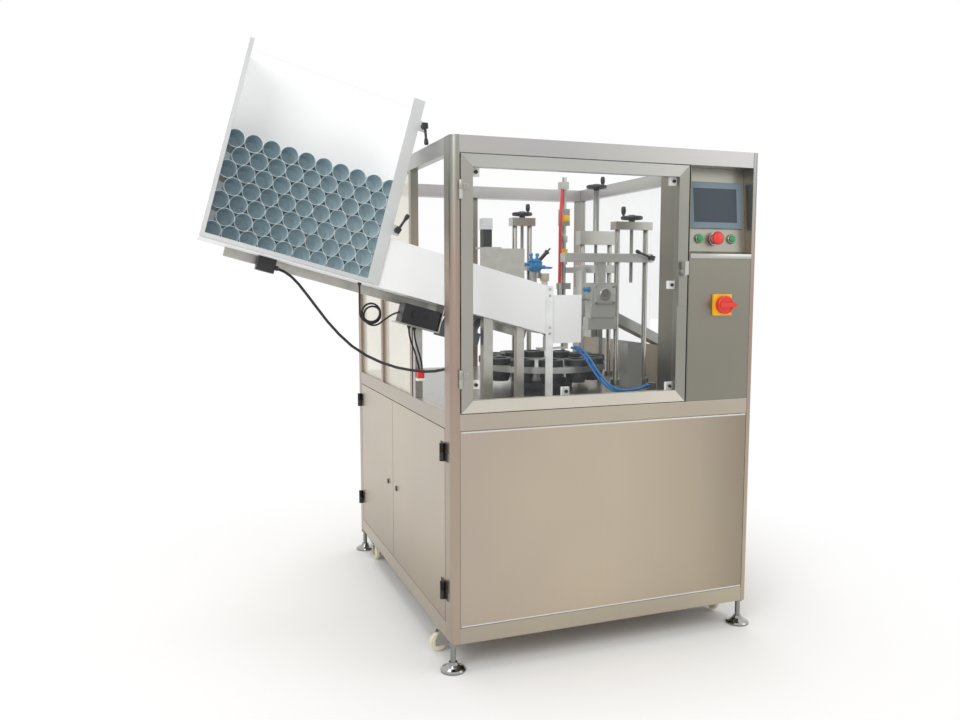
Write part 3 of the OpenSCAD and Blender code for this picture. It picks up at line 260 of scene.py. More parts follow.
brushing, entry, leave = new_group(
    "brushing",
    [("Stretch", "NodeSocketVector", (6, 6, 400))],
    [("Grain", "NodeSocketFloat")],
)
coord = brushing.nodes.new("ShaderNodeTexCoord")
turn = brushing.nodes.new("ShaderNodeMapping")
noise = brushing.nodes.new("ShaderNodeTexNoise")
noise.inputs["Scale"].default_value = 1
noise.inputs["Detail"].default_value = 3
brushing.links.new(coord.outputs["Object"], turn.inputs["Vector"])
brushing.links.new(entry.outputs["Stretch"], turn.inputs["Scale"])
brushing.links.new(turn.outputs["Vector"], noise.inputs["Vector"])
brushing.links.new(noise.outputs["Fac"], leave.inputs["Grain"])

mottle, entry, leave = new_group(
    "mottle",
    [("Size", "NodeSocketFloat", 2.5)],
    [("Cloud", "NodeSocketFloat")],
)
coord = mottle.nodes.new("ShaderNodeTexCoord")
noise = mottle.nodes.new("ShaderNodeTexNoise")
noise.inputs["Detail"].default_value = 2
mottle.links.new(coord.outputs["Object"], noise.inputs["Vector"])
mottle.links.new(entry.outputs["Size"], noise.inputs["Scale"])
mottle.links.new(noise.outputs["Fac"], leave.inputs["Cloud"])
print("groups:", [g.name for g in bpy.data.node_groups])

# %% [markdown]
# ## Finishes
# Every finish is a Principled shader whose colour, roughness and bump are moved a little by the shared effects.
# Colours are written as seen in the photograph, in screen values from 0 to 255, and turned into linear light.

# %% Finish builders
PEEL_SIZE = 480.0
finishes = {}


def tone(r, g, b):
    """Screen colour, 0 to 255, as linear RGBA."""
    def lin(v):
        v = v / 255
        return v / 12.92 if v <= 0.04045 else ((v + 0.055) / 1.055) ** 2.4
    return (lin(r), lin(g), lin(b), 1)


def shaded(colour, factor):
    """Darker or lighter colour."""
    return (min(colour[0] * factor, 1), min(colour[1] * factor, 1), min(colour[2] * factor, 1), 1)


def grey(level):
    return (level, level, level, 1)


def place_group(tree, group, **values):
    node = tree.nodes.new("ShaderNodeGroup")
    node.node_tree = group
    for label, value in values.items():
        node.inputs[label].default_value = value
    return node


def ramp_between(tree, source, low, high, start=0.3, end=0.7):
    """Value from low to high while the source goes from start to end."""
    node = tree.nodes.new("ShaderNodeMapRange")
    node.inputs["From Min"].default_value = start
    node.inputs["From Max"].default_value = end
    node.inputs["To Min"].default_value = low
    node.inputs["To Max"].default_value = high
    tree.links.new(source, node.inputs["Value"])
    return node.outputs["Result"]


def cloud_of(tree, size):
    """Share, from 0 to 1, that comes and goes like a broad cloud."""
    return ramp_between(tree, place_group(tree, mottle, Size=size).outputs["Cloud"], 0, 1)


def colour_between(tree, source, low, high):
    """Mix of two fixed colours."""
    node = tree.nodes.new("ShaderNodeMix")
    node.data_type = "RGBA"
    node.inputs["A"].default_value = low
    node.inputs["B"].default_value = high
    tree.links.new(source, node.inputs["Factor"])
    return node.outputs["Result"]


def bump_from(tree, shade, height, strength, distance):
    node = tree.nodes.new("ShaderNodeBump")
    node.inputs["Strength"].default_value = strength
    node.inputs["Distance"].default_value = distance
    tree.links.new(height, node.inputs["Height"])
    tree.links.new(node.outputs["Normal"], shade.inputs["Normal"])


def new_finish(name):
    """New material, kept under its name. Gives its node tree and its shader."""
    material = finishes[name] = bpy.data.materials.new(name)
    material.use_nodes = True
    return material.node_tree, material.node_tree.nodes["Principled BSDF"]


def multiplied(tree, colour, factor, amount):
    """Colour darkened by a factor."""
    node = tree.nodes.new("ShaderNodeMix")
    node.data_type = "RGBA"
    node.blend_type = "MULTIPLY"
    node.inputs["Factor"].default_value = amount
    tree.links.new(colour, node.inputs["A"])
    tree.links.new(factor, node.inputs["B"])
    return node.outputs["Result"]


def painted_light_along(tree, axis, painted_light_bands):
    """Painted light and shade: a colour that changes along an axis, from (place in metres, colour) steps, low to
    high.
    """
    first, last = painted_light_bands[0][0], painted_light_bands[-1][0]
    ramp = tree.nodes.new("ShaderNodeValToRGB")
    tree.links.new(ramp_between(tree, coordinate(tree, axis), 0, 1, first, last), ramp.inputs["Fac"])
    for number, (place, colour) in enumerate(painted_light_bands):
        share = (place - first) / (last - first)
        stops = ramp.color_ramp.elements
        stop = stops[0] if number == 0 else stops[-1] if number == len(painted_light_bands) - 1 else stops.new(share)
        stop.position = share
        stop.color = colour
    return ramp.outputs["Color"]


def steel(name, colour, stretch, rough=0.34, depth=0.05, axis=None, painted_light_bands=()):
    """Brushed stainless sheet: stretch is large across the brushing and small along it. A tone along axis is
    painted reflection and shade.
    """
    tree, shade = new_finish(name)
    shade.inputs["Metallic"].default_value = 0.9
    grain = place_group(tree, brushing, Stretch=stretch)
    patch = cloud_of(tree, 1.7)
    if axis:
        cool, warm = (1 - 2 * depth, 1 - 2.4 * depth, 1 - 1.6 * depth, 1), (1, 1, 1 - depth, 1)
        even = colour_between(tree, patch, cool, warm)
        tint = multiplied(tree, painted_light_along(tree, axis, painted_light_bands), even, 1)
    else:
        tint = colour_between(tree, patch, shaded(colour, 1 - depth), shaded(colour, 1 + depth))
    streak = ramp_between(tree, grain.outputs["Grain"], 0, 1, 0.35, 0.65)
    tree.links.new(multiplied(tree, tint, streak, 0.02), shade.inputs["Base Color"])
    gloss = ramp_between(tree, grain.outputs["Grain"], rough - 0.03, rough + 0.03)
    tree.links.new(gloss, shade.inputs["Roughness"])
    bump_from(tree, shade, grain.outputs["Grain"], 0.008, 0.0003)


def coated(name, colour, rough=0.45, metallic=0.0, depth=0.05, bump=0.06):
    """Paint or moulded plastic: faint colour cloud and a fine orange-peel bump."""
    tree, shade = new_finish(name)
    shade.inputs["Metallic"].default_value = metallic
    peel = place_group(tree, mottle, Size=PEEL_SIZE)
    tint = colour_between(tree, cloud_of(tree, 3.0), shaded(colour, 1 - depth), shaded(colour, 1 + depth))
    tree.links.new(tint, shade.inputs["Base Color"])
    gloss = ramp_between(tree, peel.outputs["Cloud"], rough - 0.06, rough + 0.06)
    tree.links.new(gloss, shade.inputs["Roughness"])
    bump_from(tree, shade, peel.outputs["Cloud"], bump, 0.0003)


def clear(name, colour, least, most):
    """Clear pane: nearly unseen face on, and more visible at a glancing angle."""
    tree, shade = new_finish(name)
    tint = colour_between(tree, cloud_of(tree, 5.0), shaded(colour, 0.97), colour)
    tree.links.new(tint, shade.inputs["Base Color"])
    shade.inputs["Roughness"].default_value = 0.04
    facing = tree.nodes.new("ShaderNodeLayerWeight")
    facing.inputs["Blend"].default_value = 0.25
    tree.links.new(ramp_between(tree, facing.outputs["Fresnel"], least, most, 0.0, 1.0), shade.inputs["Alpha"])


print("finish builders ready")

# %% The finishes
# Painted reflection and shade: post and rail steel change tone with height, the panel steel is darker towards the
# right, and the door steel is darker towards its foot.
steel("post_steel", None, (900, 900, 4), axis="Z", painted_light_bands=[
    (0.09, tone(176, 162, 145)), (0.6, tone(175, 161, 144)), (0.85, tone(168, 148, 134)),
    (1.15, tone(163, 147, 135)), (1.38, tone(151, 151, 142)), (1.48, tone(160, 162, 156))])
steel("rail_steel", None, (4, 900, 900), axis="Z", painted_light_bands=[
    (0.08, tone(180, 171, 155)), (0.6, tone(184, 175, 159)), (0.75, tone(186, 178, 162)),
    (1.0, tone(172, 170, 162)), (1.48, tone(186, 186, 183))])
steel("panel_steel", None, (900, 900, 3), 0.38, axis="X", painted_light_bands=[
    (-0.17, tone(188, 175, 159)), (0.32, tone(192, 179, 161)), (0.6, tone(178, 166, 149)),
    (0.77, tone(152, 141, 125))])
steel("door_steel", None, (900, 900, 3), 0.38, axis="Z", painted_light_bands=[
    (0.12, tone(169, 158, 141)), (0.36, tone(192, 182, 165)), (0.69, tone(202, 193, 176))])
steel("column_steel", tone(137, 134, 124), (900, 900, 3), 0.36)
steel("operator_steel", tone(158, 157, 146), (900, 900, 3), 0.4)
steel("deck_steel", tone(154, 152, 145), (4, 900, 900), 0.28)
steel("bright_steel", tone(186, 185, 179), (900, 900, 900), 0.3)
steel("turned_aluminium", tone(178, 179, 175), (8, 900, 900), 0.34)
coated("cast_head", tone(196, 197, 193), 0.4, 0.35)
coated("bin_sheet", tone(172, 172, 169), 0.36, 0.4)
steel("polished", tone(216, 216, 214), (300, 300, 8), 0.12, 0.03)
steel("zinc", tone(176, 174, 166), (400, 400, 400), 0.42)
coated("white_sheet", tone(247, 248, 249), 0.42)
coated("white_plastic", tone(240, 240, 238), 0.5)
coated("cream_plastic", tone(228, 220, 196), 0.5)
coated("green_plastic", tone(26, 150, 84), 0.3)
coated("red_plastic", tone(226, 60, 50), 0.3)
coated("yellow_plastic", tone(246, 190, 40), 0.35)
coated("black_plastic", tone(38, 38, 40), 0.45)
coated("bezel_plastic", tone(116, 133, 145), 0.5)
coated("screen_glass", tone(38, 55, 66), 0.34, depth=0.1, bump=0.0)
coated("grey_paint", tone(92, 96, 102), 0.45)
coated("blue_grey_paint", tone(86, 104, 122), 0.4)
coated("cable_rubber", tone(30, 30, 32), 0.6)
coated("blue_hose", tone(36, 134, 214), 0.22)
coated("red_hose", tone(206, 40, 48), 0.3)
clear("clear_pane", tone(226, 234, 232), 0.012, 0.17)
print("finishes made:", len(finishes))

# %% Finishes on the frame's nodes
NODE_FINISH = {
    "frame_posts": "post_steel", "frame_rails": "rail_steel", "work_deck": "deck_steel",
    "front_panel": "panel_steel", "body_panels": "panel_steel", "column_shell": "column_steel",
    "operator_panel": "operator_steel", "touch_bezel": "bezel_plastic", "touch_screen": "screen_glass",
    "start_button": "green_plastic", "reset_button": "green_plastic", "estop_button": "red_plastic",
    "switch_plate": "yellow_plastic", "switch_knob": "red_plastic", "front_door_pane": "clear_pane",
    "pane_clips": "white_plastic", "door_latch": "bright_steel", "castor_brackets": "zinc",
    "castor_fork_left": "zinc", "castor_fork_right": "zinc", "castor_wheel_front_left": "cream_plastic",
    "castor_wheel_front_right": "cream_plastic", "castor_wheel_rear_left": "cream_plastic",
    "castor_wheel_rear_right": "cream_plastic", "turntable": "turned_aluminium", "tube_cups": "black_plastic",
    "index_drive": "grey_paint", "gear_motor": "blue_grey_paint", "drive_coupling": "turned_aluminium",
    "carriage_press": "cast_head", "carriage_heat": "cast_head", "carriage_crimp": "cast_head",
    "jaw_left": "bright_steel", "jaw_right": "bright_steel", "loader_cradle": "bright_steel",
    "hopper_pane": "clear_pane", "chute": "white_sheet", "feeder_drive": "grey_paint",
    "hopper_lever_upper": "black_plastic", "hopper_lever_lower": "black_plastic", "arm_lever": "black_plastic",
    "outlet_trays": "bin_sheet",
}


def dress(piece, finish):
    """Gives a piece one finish."""
    piece.data.materials.clear()
    piece.data.materials.append(finishes[finish])


for name, finish in NODE_FINISH.items():
    dress(nodes[name], finish)
dress(sensor_cable, "cable_rubber")
dress(air_line, "blue_hose")
dress(product_line, "red_hose")
print("finishes on", len(NODE_FINISH), "nodes")

# %% [markdown]
# The panes on the cabinet's left side are cream and let less through than the others. They are told from the
# rest by their place along X.

# %% Cream panes on the left
def altered(finish, name):
    """Copy of a finish to build on, kept under its own name. Gives its node tree and its shader."""
    material = finishes[name] = finishes[finish].copy()
    material.name = name
    return material.node_tree, material.node_tree.nodes["Principled BSDF"]


def feeding(shade, label):
    """Socket that feeds an input of a shader."""
    return shade.inputs[label].links[0].from_socket


CREAM_ALPHA, CREAM_EDGE = 0.5, (-0.175, -0.17)
PLAIN_PANE, CREAM_PANE = tone(226, 234, 232), tone(246, 241, 224)
tree, shade = altered("clear_pane", "upper_pane")
veil = ramp_between(tree, coordinate(tree, "X"), CREAM_ALPHA, 0, *CREAM_EDGE)
tree.links.new(calc(tree, "MAXIMUM", veil, feeding(shade, "Alpha")), shade.inputs["Alpha"])
on_left = ramp_between(tree, veil, 0, 1, 0, CREAM_ALPHA)
tree.links.new(colour_between(tree, on_left, PLAIN_PANE, CREAM_PANE), shade.inputs["Base Color"])
dress(nodes["upper_panes"], "upper_pane")
print("cream panes up to x", CREAM_EDGE[1])

# %% [markdown]
# ## Parts with two finishes
# A handwheel and its lead screw are one turned piece in the model, black above and bright below. The sensor is
# black with a white top, the feed's front bar is paler than its columns, and the side hinges are black. One
# coordinate of the piece tells which finish a point gets, so no mesh has to be cut.

# %% Two-tone finishes
def two_tone(name, axis, edge, low, high, groove=0.0):
    """Finish that changes at one place along an axis. low and high are (colour, roughness, metallic)."""
    tree, shade = new_finish(name)
    side = ramp_between(tree, coordinate(tree, axis), 0, 1, edge - 0.0002, edge + 0.0002)
    patch = cloud_of(tree, 40.0)
    dark = colour_between(tree, patch, shaded(low[0], 0.92), shaded(low[0], 1.06))
    light = colour_between(tree, patch, shaded(high[0], 0.92), shaded(high[0], 1.06))
    tree.links.new(mixed(tree, side, dark, light), shade.inputs["Base Color"])
    tree.links.new(ramp_between(tree, side, low[1], high[1], 0, 1), shade.inputs["Roughness"])
    tree.links.new(ramp_between(tree, side, low[2], high[2], 0, 1), shade.inputs["Metallic"])
    if groove:
        coord = tree.nodes.new("ShaderNodeTexCoord")
        wave = tree.nodes.new("ShaderNodeTexWave")
        wave.bands_direction = "Z"
        wave.inputs["Scale"].default_value = groove
        tree.links.new(coord.outputs["Object"], wave.inputs["Vector"])
        masked = calc(tree, "MULTIPLY", wave.outputs["Fac"], ramp_between(tree, side, 1, 0, 0, 1))
        bump_from(tree, shade, masked, 0.8, 0.001)


SCREW = (tone(150, 150, 146), 0.3, 0.9)
BLACK = (tone(34, 34, 36), 0.42, 0.0)
SCREW_TOPS = {"handwheel_press": 1.325, "handwheel_heat": 1.425, "handwheel_crimp": 1.294}
for wheel, edge in SCREW_TOPS.items():
    two_tone(wheel + "_finish", "Z", edge, SCREW, BLACK, groove=100)
    dress(nodes[wheel], wheel + "_finish")

GREY_STEEL = (tone(176, 175, 168), 0.28, 0.9)
PALE_STEEL = (tone(238, 240, 238), 0.4, 0.3)
DARK_HINGE = (tone(44, 42, 40), 0.45, 0.2)
SENSOR_WHITE = (tone(226, 228, 232), 0.45, 0.0)
BAR_BACK, SENSOR_TOP, HINGE_FACE = at(0, -371, 0).y, 1.257, at(-494, 0, 0).x
for node, axis, edge, low, high in (("chute_supports", "Y", BAR_BACK, PALE_STEEL, GREY_STEEL),
                                    ("feed_controls", "Z", SENSOR_TOP, BLACK, SENSOR_WHITE),
                                    ("hinge_posts", "X", HINGE_FACE, DARK_HINGE, GREY_STEEL)):
    two_tone(node + "_finish", axis, edge, low, high)
    dress(nodes[node], node + "_finish")
print("two-tone finishes on the handwheels, supports, controls and hinges")

# %% [markdown]
# ## Finishes that follow the form
# Some finishes depend on where a point lies, or on the way its face looks, and most of them paint light and shade
# into the colour. An empty tube's inside gets a painted glow, as if light came through its thin wall, brighter
# where the wall looks up and towards the right. Its rim is painted paler as a highlight, and the gaps between the
# tubes get painted shade. The tubes lie in close rows on the hopper's tilted floor, so the nearest tube is found by
# folding the rows into one cell.

# %% Empty tubes
FEED_TILT, FEED_FOOT = math.radians(15.5), at(-638, 0, 1079)
TUBE_PITCH, FIRST_TUBE, TUBE_SKIN = 0.0484, (-0.4688, 0.0242), (0.02355, 0.0237)
TUBE_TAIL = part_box("tube_charge")[0].y


def facing_of(tree, direction):
    """How far a face looks along a direction, from -1 to 1."""
    coord = tree.nodes.new("ShaderNodeTexCoord")
    node = tree.nodes.new("ShaderNodeVectorMath")
    node.operation = "DOT_PRODUCT"
    node.inputs[1].default_value = direction
    tree.links.new(coord.outputs["Normal"], node.inputs[0])
    return node.outputs["Value"]


def squared(tree, a, b):
    """Square of the distance that two steps at right angles make."""
    return calc(tree, "ADD", calc(tree, "MULTIPLY", a, a), calc(tree, "MULTIPLY", b, b))


def between_tubes(tree):
    """1 outside the skins of the tubes in the hopper, 0 on them and in the chute."""
    dx = calc(tree, "SUBTRACT", coordinate(tree, "X"), FEED_FOOT.x)
    dz = calc(tree, "SUBTRACT", coordinate(tree, "Z"), FEED_FOOT.z)
    cos, sin = math.cos(FEED_TILT), math.sin(FEED_TILT)
    along = calc(tree, "SUBTRACT", calc(tree, "MULTIPLY", dx, cos), calc(tree, "MULTIPLY", dz, sin))
    above = calc(tree, "ADD", calc(tree, "MULTIPLY", dx, sin), calc(tree, "MULTIPLY", dz, cos))
    half, rise = TUBE_PITCH / 2, TUBE_PITCH * math.sqrt(3) / 2
    a = calc(tree, "PINGPONG", calc(tree, "SUBTRACT", along, FIRST_TUBE[0]), half)
    b = calc(tree, "PINGPONG", calc(tree, "SUBTRACT", above, FIRST_TUBE[1]), rise)
    odd = squared(tree, calc(tree, "SUBTRACT", half, a), calc(tree, "SUBTRACT", rise, b))
    nearest = calc(tree, "SQRT", calc(tree, "MINIMUM", squared(tree, a, b), odd))
    outside = ramp_between(tree, nearest, 0, 1, *TUBE_SKIN)
    return calc(tree, "MULTIPLY", outside, calc(tree, "LESS_THAN", along, 0.0))


tree, shade = new_finish("tube_finish")
patch = cloud_of(tree, 22.0)
wall = colour_between(tree, patch, tone(92, 116, 128), tone(120, 146, 154))
# Painted highlight: the rim at the tube's open end is paler than its wall.
rim_highlight = colour_between(tree, patch, tone(196, 210, 214), tone(214, 224, 226))
behind_rim = ramp_between(tree, coordinate(tree, "Y"), 0, 1, TUBE_TAIL + 0.0022, TUBE_TAIL + 0.0034)
# Painted shade: the gaps between the tubes, behind the rims, are darkened.
gap_shade = colour_between(tree, calc(tree, "MULTIPLY", between_tubes(tree), behind_rim), grey(1), grey(0.2))
tree.links.new(multiplied(tree, mixed(tree, behind_rim, rim_highlight, wall), gap_shade, 1), shade.inputs["Base Color"])
shade.inputs["Roughness"].default_value = 0.3
# Painted glow: the emission stands for light through the wall, brighter where the wall looks up and towards the
# right, and darkened by the painted shade between the tubes.
up = ramp_between(tree, facing_of(tree, (-0.5, -0.25, 0.83)), 0, 1, -0.9, 0.95)
painted_glow = colour_between(tree, up, tone(44, 58, 68), tone(160, 180, 186))
painted_light_right = painted_light_along(tree, "X", [
    (-0.78, (0.5, 0.52, 0.55, 1)), (-0.55, (0.8, 0.81, 0.82, 1)), (-0.33, (1, 1, 0.97, 1))])
for factor in (colour_between(tree, patch, grey(0.8), grey(1)), painted_light_right, gap_shade):
    painted_glow = multiplied(tree, painted_glow, factor, 1)
tree.links.new(painted_glow, shade.inputs["Emission Color"])
shade.inputs["Emission Strength"].default_value = 0.62
dress(nodes["tube_charge"], "tube_finish")
print("tube rows", round(TUBE_PITCH * 1000, 1), "mm apart, tails at y", round(TUBE_TAIL, 3))

# %% [markdown]
# A chrome foot has a painted reflection of the floor below and the room above: its colour is darker where it looks
# down. A ground rod has a painted reflection of the dark machine on its flanks: its colour is darker between the
# main directions.

# %% Chrome feet and ground rods
tree, shade = new_finish("foot_chrome")
shade.inputs["Metallic"].default_value = 1
shade.inputs["Roughness"].default_value = 0.12
# Painted reflection: the foot's colour is darker where it looks down.
up = ramp_between(tree, facing_of(tree, (0.25, 0, 0.97)), 0, 1, -1, 1)
tree.links.new(colour_between(tree, up, tone(120, 120, 118), tone(170, 170, 168)), shade.inputs["Base Color"])
dress(nodes["levelling_feet"], "foot_chrome")

tree, shade = altered("bright_steel", "rod_steel")
# Painted reflection: the rod's colour is darker on its flanks, between the main directions.
across, deep, tall = [calc(tree, "ABSOLUTE", facing_of(tree, d)) for d in ((1, 0, 0), (0, 1, 0), (0, 0, 1))]
squarest = calc(tree, "MAXIMUM", calc(tree, "MAXIMUM", across, deep), tall)
flank_reflection = colour_between(tree, ramp_between(tree, squarest, 0, 1, 0.78, 0.99), grey(0.34), grey(1))
tree.links.new(multiplied(tree, feeding(shade, "Base Color"), flank_reflection, 1), shade.inputs["Base Color"])
for name in ("station_stands", "valve_stand"):
    dress(nodes[name], "rod_steel")
print("chrome on the feet, ground steel on the stands")

# %% [markdown]
# The front door's frame has painted reflection: its stiles are painted darker than its rails, the stiles darken
# towards the right and the rails towards the top. The change runs along the mitre, where a point is as far from
# the frame's side as from its top or bottom.

# %% Door frame
DOOR_MIDDLE_X, DOOR_HALF_X = at(-110.5, 0, 0).x, 0.3535
low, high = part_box("front_door_frame")
spans = (("X", DOOR_MIDDLE_X, DOOR_HALF_X), ("Z", (low.z + high.z) / 2, (high.z - low.z) / 2))
tree, shade = new_finish("door_frame_steel")
shade.inputs["Metallic"].default_value = 0.9
shade.inputs["Roughness"].default_value = 0.34
insets = []
for axis, middle, reach in spans:
    offset = calc(tree, "SUBTRACT", coordinate(tree, axis), middle)
    insets.append(calc(tree, "SUBTRACT", reach, calc(tree, "ABSOLUTE", offset)))
on_rail = ramp_between(tree, calc(tree, "SUBTRACT", *insets), 0, 1, -0.0004, 0.0004)
# Painted reflection: the stiles darken towards the right, the rails are lighter and darken towards the top.
stile_reflection = painted_light_along(tree, "X", [
    (-0.17, tone(169, 166, 158)), (0.1, tone(156, 155, 147)), (0.55, tone(147, 147, 139))])
rail_reflection = painted_light_along(tree, "Z", [(0.73, tone(212, 206, 194)), (1.43, tone(182, 182, 177))])
even = colour_between(tree, cloud_of(tree, 3.0), grey(0.9), grey(1))
tree.links.new(multiplied(tree, mixed(tree, on_rail, stile_reflection, rail_reflection), even, 1), shade.inputs["Base Color"])
dress(nodes["front_door_frame"], "door_frame_steel")
print("door frame with mitres, half height", round(spans[1][2], 3), "m")

# %% [markdown]
# The white hopper has painted shade that makes its outer bars grey, and a painted glow on its inside.
# The knuckles and leaves that stand out from the lower doors are black, and the doors behind them are steel.

# %% Hopper and lower doors
BAR_FACE = at(0, -372.2, 0).y, at(0, -371.6, 0).y
LEAF_BACK = at(-493.4, 0, 0).x, at(-492.6, 0, 0).x
tree, shade = new_finish("hopper_sheet")
shade.inputs["Roughness"].default_value = 0.42
patch = cloud_of(tree, 4.0)
# Painted shade: the outer bars are grey on the white sheet.
bar_shade = colour_between(tree, patch, tone(198, 202, 201), tone(214, 217, 216))
sheet = colour_between(tree, patch, tone(246, 247, 248), tone(251, 252, 252))
inside = ramp_between(tree, coordinate(tree, "Y"), 0, 1, *BAR_FACE)
tree.links.new(mixed(tree, inside, bar_shade, sheet), shade.inputs["Base Color"])
# Painted glow: a faint emission brightens the hopper's inside.
tree.links.new(colour_between(tree, inside, grey(0), grey(0.09)), shade.inputs["Emission Color"])
shade.inputs["Emission Strength"].default_value = 1
dress(nodes["hopper_box"], "hopper_sheet")

for node in ("lower_door_front", "lower_door_rear"):
    tree, shade = altered("door_steel", node + "_finish")
    dark = tree.nodes.new("ShaderNodeRGB")
    dark.outputs[0].default_value = DARK_HINGE[0]
    skin = ramp_between(tree, coordinate(tree, "X"), 0, 1, *LEAF_BACK)
    tree.links.new(mixed(tree, skin, dark.outputs[0], feeding(shade, "Base Color")), shade.inputs["Base Color"])
    dress(nodes[node], node + "_finish")
print("finishes in all:", len(finishes))

# %% [markdown]
# ## Edges
# Sheet and bar edges are never quite sharp, and the thin rounded edge is what catches the light. The frame's
# meshes stay as they are; a weld and a narrow bevel are added on top of them.

# %% Rounded edges on the frame's nodes
EDGE_MM = {
    "frame_rails": 1.5, "front_door_frame": 1.2, "front_panel": 1.5, "lower_door_front": 1.2,
    "lower_door_rear": 1.2, "column_shell": 1.5, "operator_panel": 0.6, "touch_bezel": 1.2, "switch_plate": 1.0,
    "pane_clips": 0.8, "hopper_box": 0.8, "chute": 0.6, "chute_supports": 0.8, "station_stands": 1.0,
    "carriage_press": 1.0, "carriage_heat": 1.0, "carriage_crimp": 1.0, "jaw_left": 0.6, "jaw_right": 0.6,
    "valve_stand": 0.8, "outlet_trays": 0.5, "loader_cradle": 0.6, "feed_controls": 1.0, "door_latch": 0.8,
    "feeder_drive": 1.0, "gear_motor": 1.0, "index_drive": 1.0,
}
for name, width in EDGE_MM.items():
    weld = nodes[name].modifiers.new("weld", "WELD")
    weld.merge_threshold = 0.00001
    round_off = nodes[name].modifiers.new("edge", "BEVEL")
    round_off.width = width / 1000
    round_off.segments = 2
    round_off.limit_method = "ANGLE"
    round_off.angle_limit = math.radians(50)
    round_off.use_clamp_overlap = True
print("edges rounded on", len(EDGE_MM), "nodes")

# %% [markdown]
# ## Modelling helpers
# The small pieces are modelled as by hand. A block is a cube set to its size, with every edge rounded. A turned
# piece is a disc that is extruded and widened step by step, as on a lathe. When a piece is done, its place is
# applied to its mesh and it is handed to the body that carries it.

# %% Block, turned piece, pick, settle
SMOOTH_BELOW = 32


def from_scratch(piece_name):
    """Names the piece that was just added."""
    piece = bpy.context.object
    piece.name = piece_name
    return piece


def block(name, low, high, edge=1.0, steps=2):
    """Box between two corners, in cabinet millimetres, with all its edges rounded."""
    bpy.ops.object.select_all(action="DESELECT")
    a, b = at(*low), at(*high)
    bpy.ops.mesh.primitive_cube_add(size=1, location=(a + b) / 2)
    piece = from_scratch(name)
    piece.scale = b - a
    bpy.ops.object.transform_apply(location=False, rotation=False, scale=True)
    bpy.ops.object.mode_set(mode="EDIT")
    bpy.ops.mesh.select_all(action="SELECT")
    bpy.ops.mesh.bevel(offset=edge / 1000, segments=steps)
    bpy.ops.object.mode_set(mode="OBJECT")
    return piece


def turned(name, place, profile, sides=32, turn=(0, 0, 0)):
    """Round piece from (radius, height) steps in millimetres, turned in degrees about its first point."""
    bpy.ops.object.select_all(action="DESELECT")
    centre = at(*place)
    radius, level = profile[0]
    bpy.ops.mesh.primitive_circle_add(vertices=sides, radius=radius / 1000, fill_type="NGON", location=centre)
    piece = from_scratch(name)
    bpy.ops.object.mode_set(mode="EDIT")
    bpy.ops.mesh.select_all(action="SELECT")
    for wide, high in profile[1:]:
        move = Vector((0, 0, (high - level) / 1000))
        bpy.ops.mesh.extrude_region_move(TRANSFORM_OT_translate={"value": move})
        centre = centre + move
        grow = wide / radius
        bpy.ops.transform.resize(value=(grow, grow, 1), center_override=centre)
        radius, level = wide, high
    bpy.ops.mesh.select_all(action="SELECT")
    bpy.ops.mesh.normals_make_consistent(inside=False)
    bpy.ops.object.mode_set(mode="OBJECT")
    piece.rotation_euler = [math.radians(v) for v in turn]
    return piece


def pick(piece, kind, test):
    """Opens a piece for editing and selects the faces or the corners that pass a test."""
    bpy.ops.object.mode_set(mode="EDIT")
    bpy.ops.mesh.select_mode(type=kind)
    bpy.ops.mesh.select_all(action="DESELECT")
    mesh = bmesh.from_edit_mesh(piece.data)
    for element in mesh.faces if kind == "FACE" else mesh.verts:
        element.select = test(element)
    bmesh.update_edit_mesh(piece.data)


def settle(piece, body, finish):
    """Leaves the place of a piece in its mesh, smooths it, and hands it to its body."""
    bpy.ops.object.select_all(action="DESELECT")
    piece.select_set(True)
    bpy.context.view_layer.objects.active = piece
    bpy.ops.object.transform_apply(location=True, rotation=True, scale=True)
    bpy.ops.object.shade_smooth_by_angle(angle=math.radians(SMOOTH_BELOW))
    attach(piece, body)
    dress(piece, finish)


print("helpers ready")

# %% [markdown]
# ## Screws
# Pane clips, hinge leaves and brackets are held by socket screws. One head is modelled: a short cylinder with a
# chamfered rim and a round socket sunk into its top. Every other screw is a copy with its own mesh, turned to
# the face it sits on.

# %% One screw head, and its copies
bpy.ops.object.select_all(action="DESELECT")
bpy.ops.mesh.primitive_cylinder_add(vertices=18, radius=0.0045, depth=0.004, location=(0, 0, 0.002))
screw_head = from_scratch("screw_head")
pick(screw_head, "FACE", lambda face: face.normal.z > 0.9)
bpy.ops.mesh.inset(thickness=0.0006)
bpy.ops.transform.translate(value=(0, 0, 0.0006))
bpy.ops.mesh.inset(thickness=0.0014)
bpy.ops.mesh.extrude_region_move(TRANSFORM_OT_translate={"value": (0, 0, -0.002)})
bpy.ops.object.mode_set(mode="OBJECT")


def screw(name, place, facing, body, size, finish="bright_steel", slot="machined"):
    """Copy of the screw head on a face that looks along facing."""
    copy = screw_head.copy()
    copy.data = screw_head.data.copy()
    copy.name = name
    bpy.context.collection.objects.link(copy)
    copy.location = at(*place)
    copy.rotation_euler = Vector(facing).to_track_quat("Z", "Y").to_euler()
    copy.scale = (size, size, size)
    settle(copy, body, finish)


print("screw head:", len(screw_head.data.polygons), "faces")

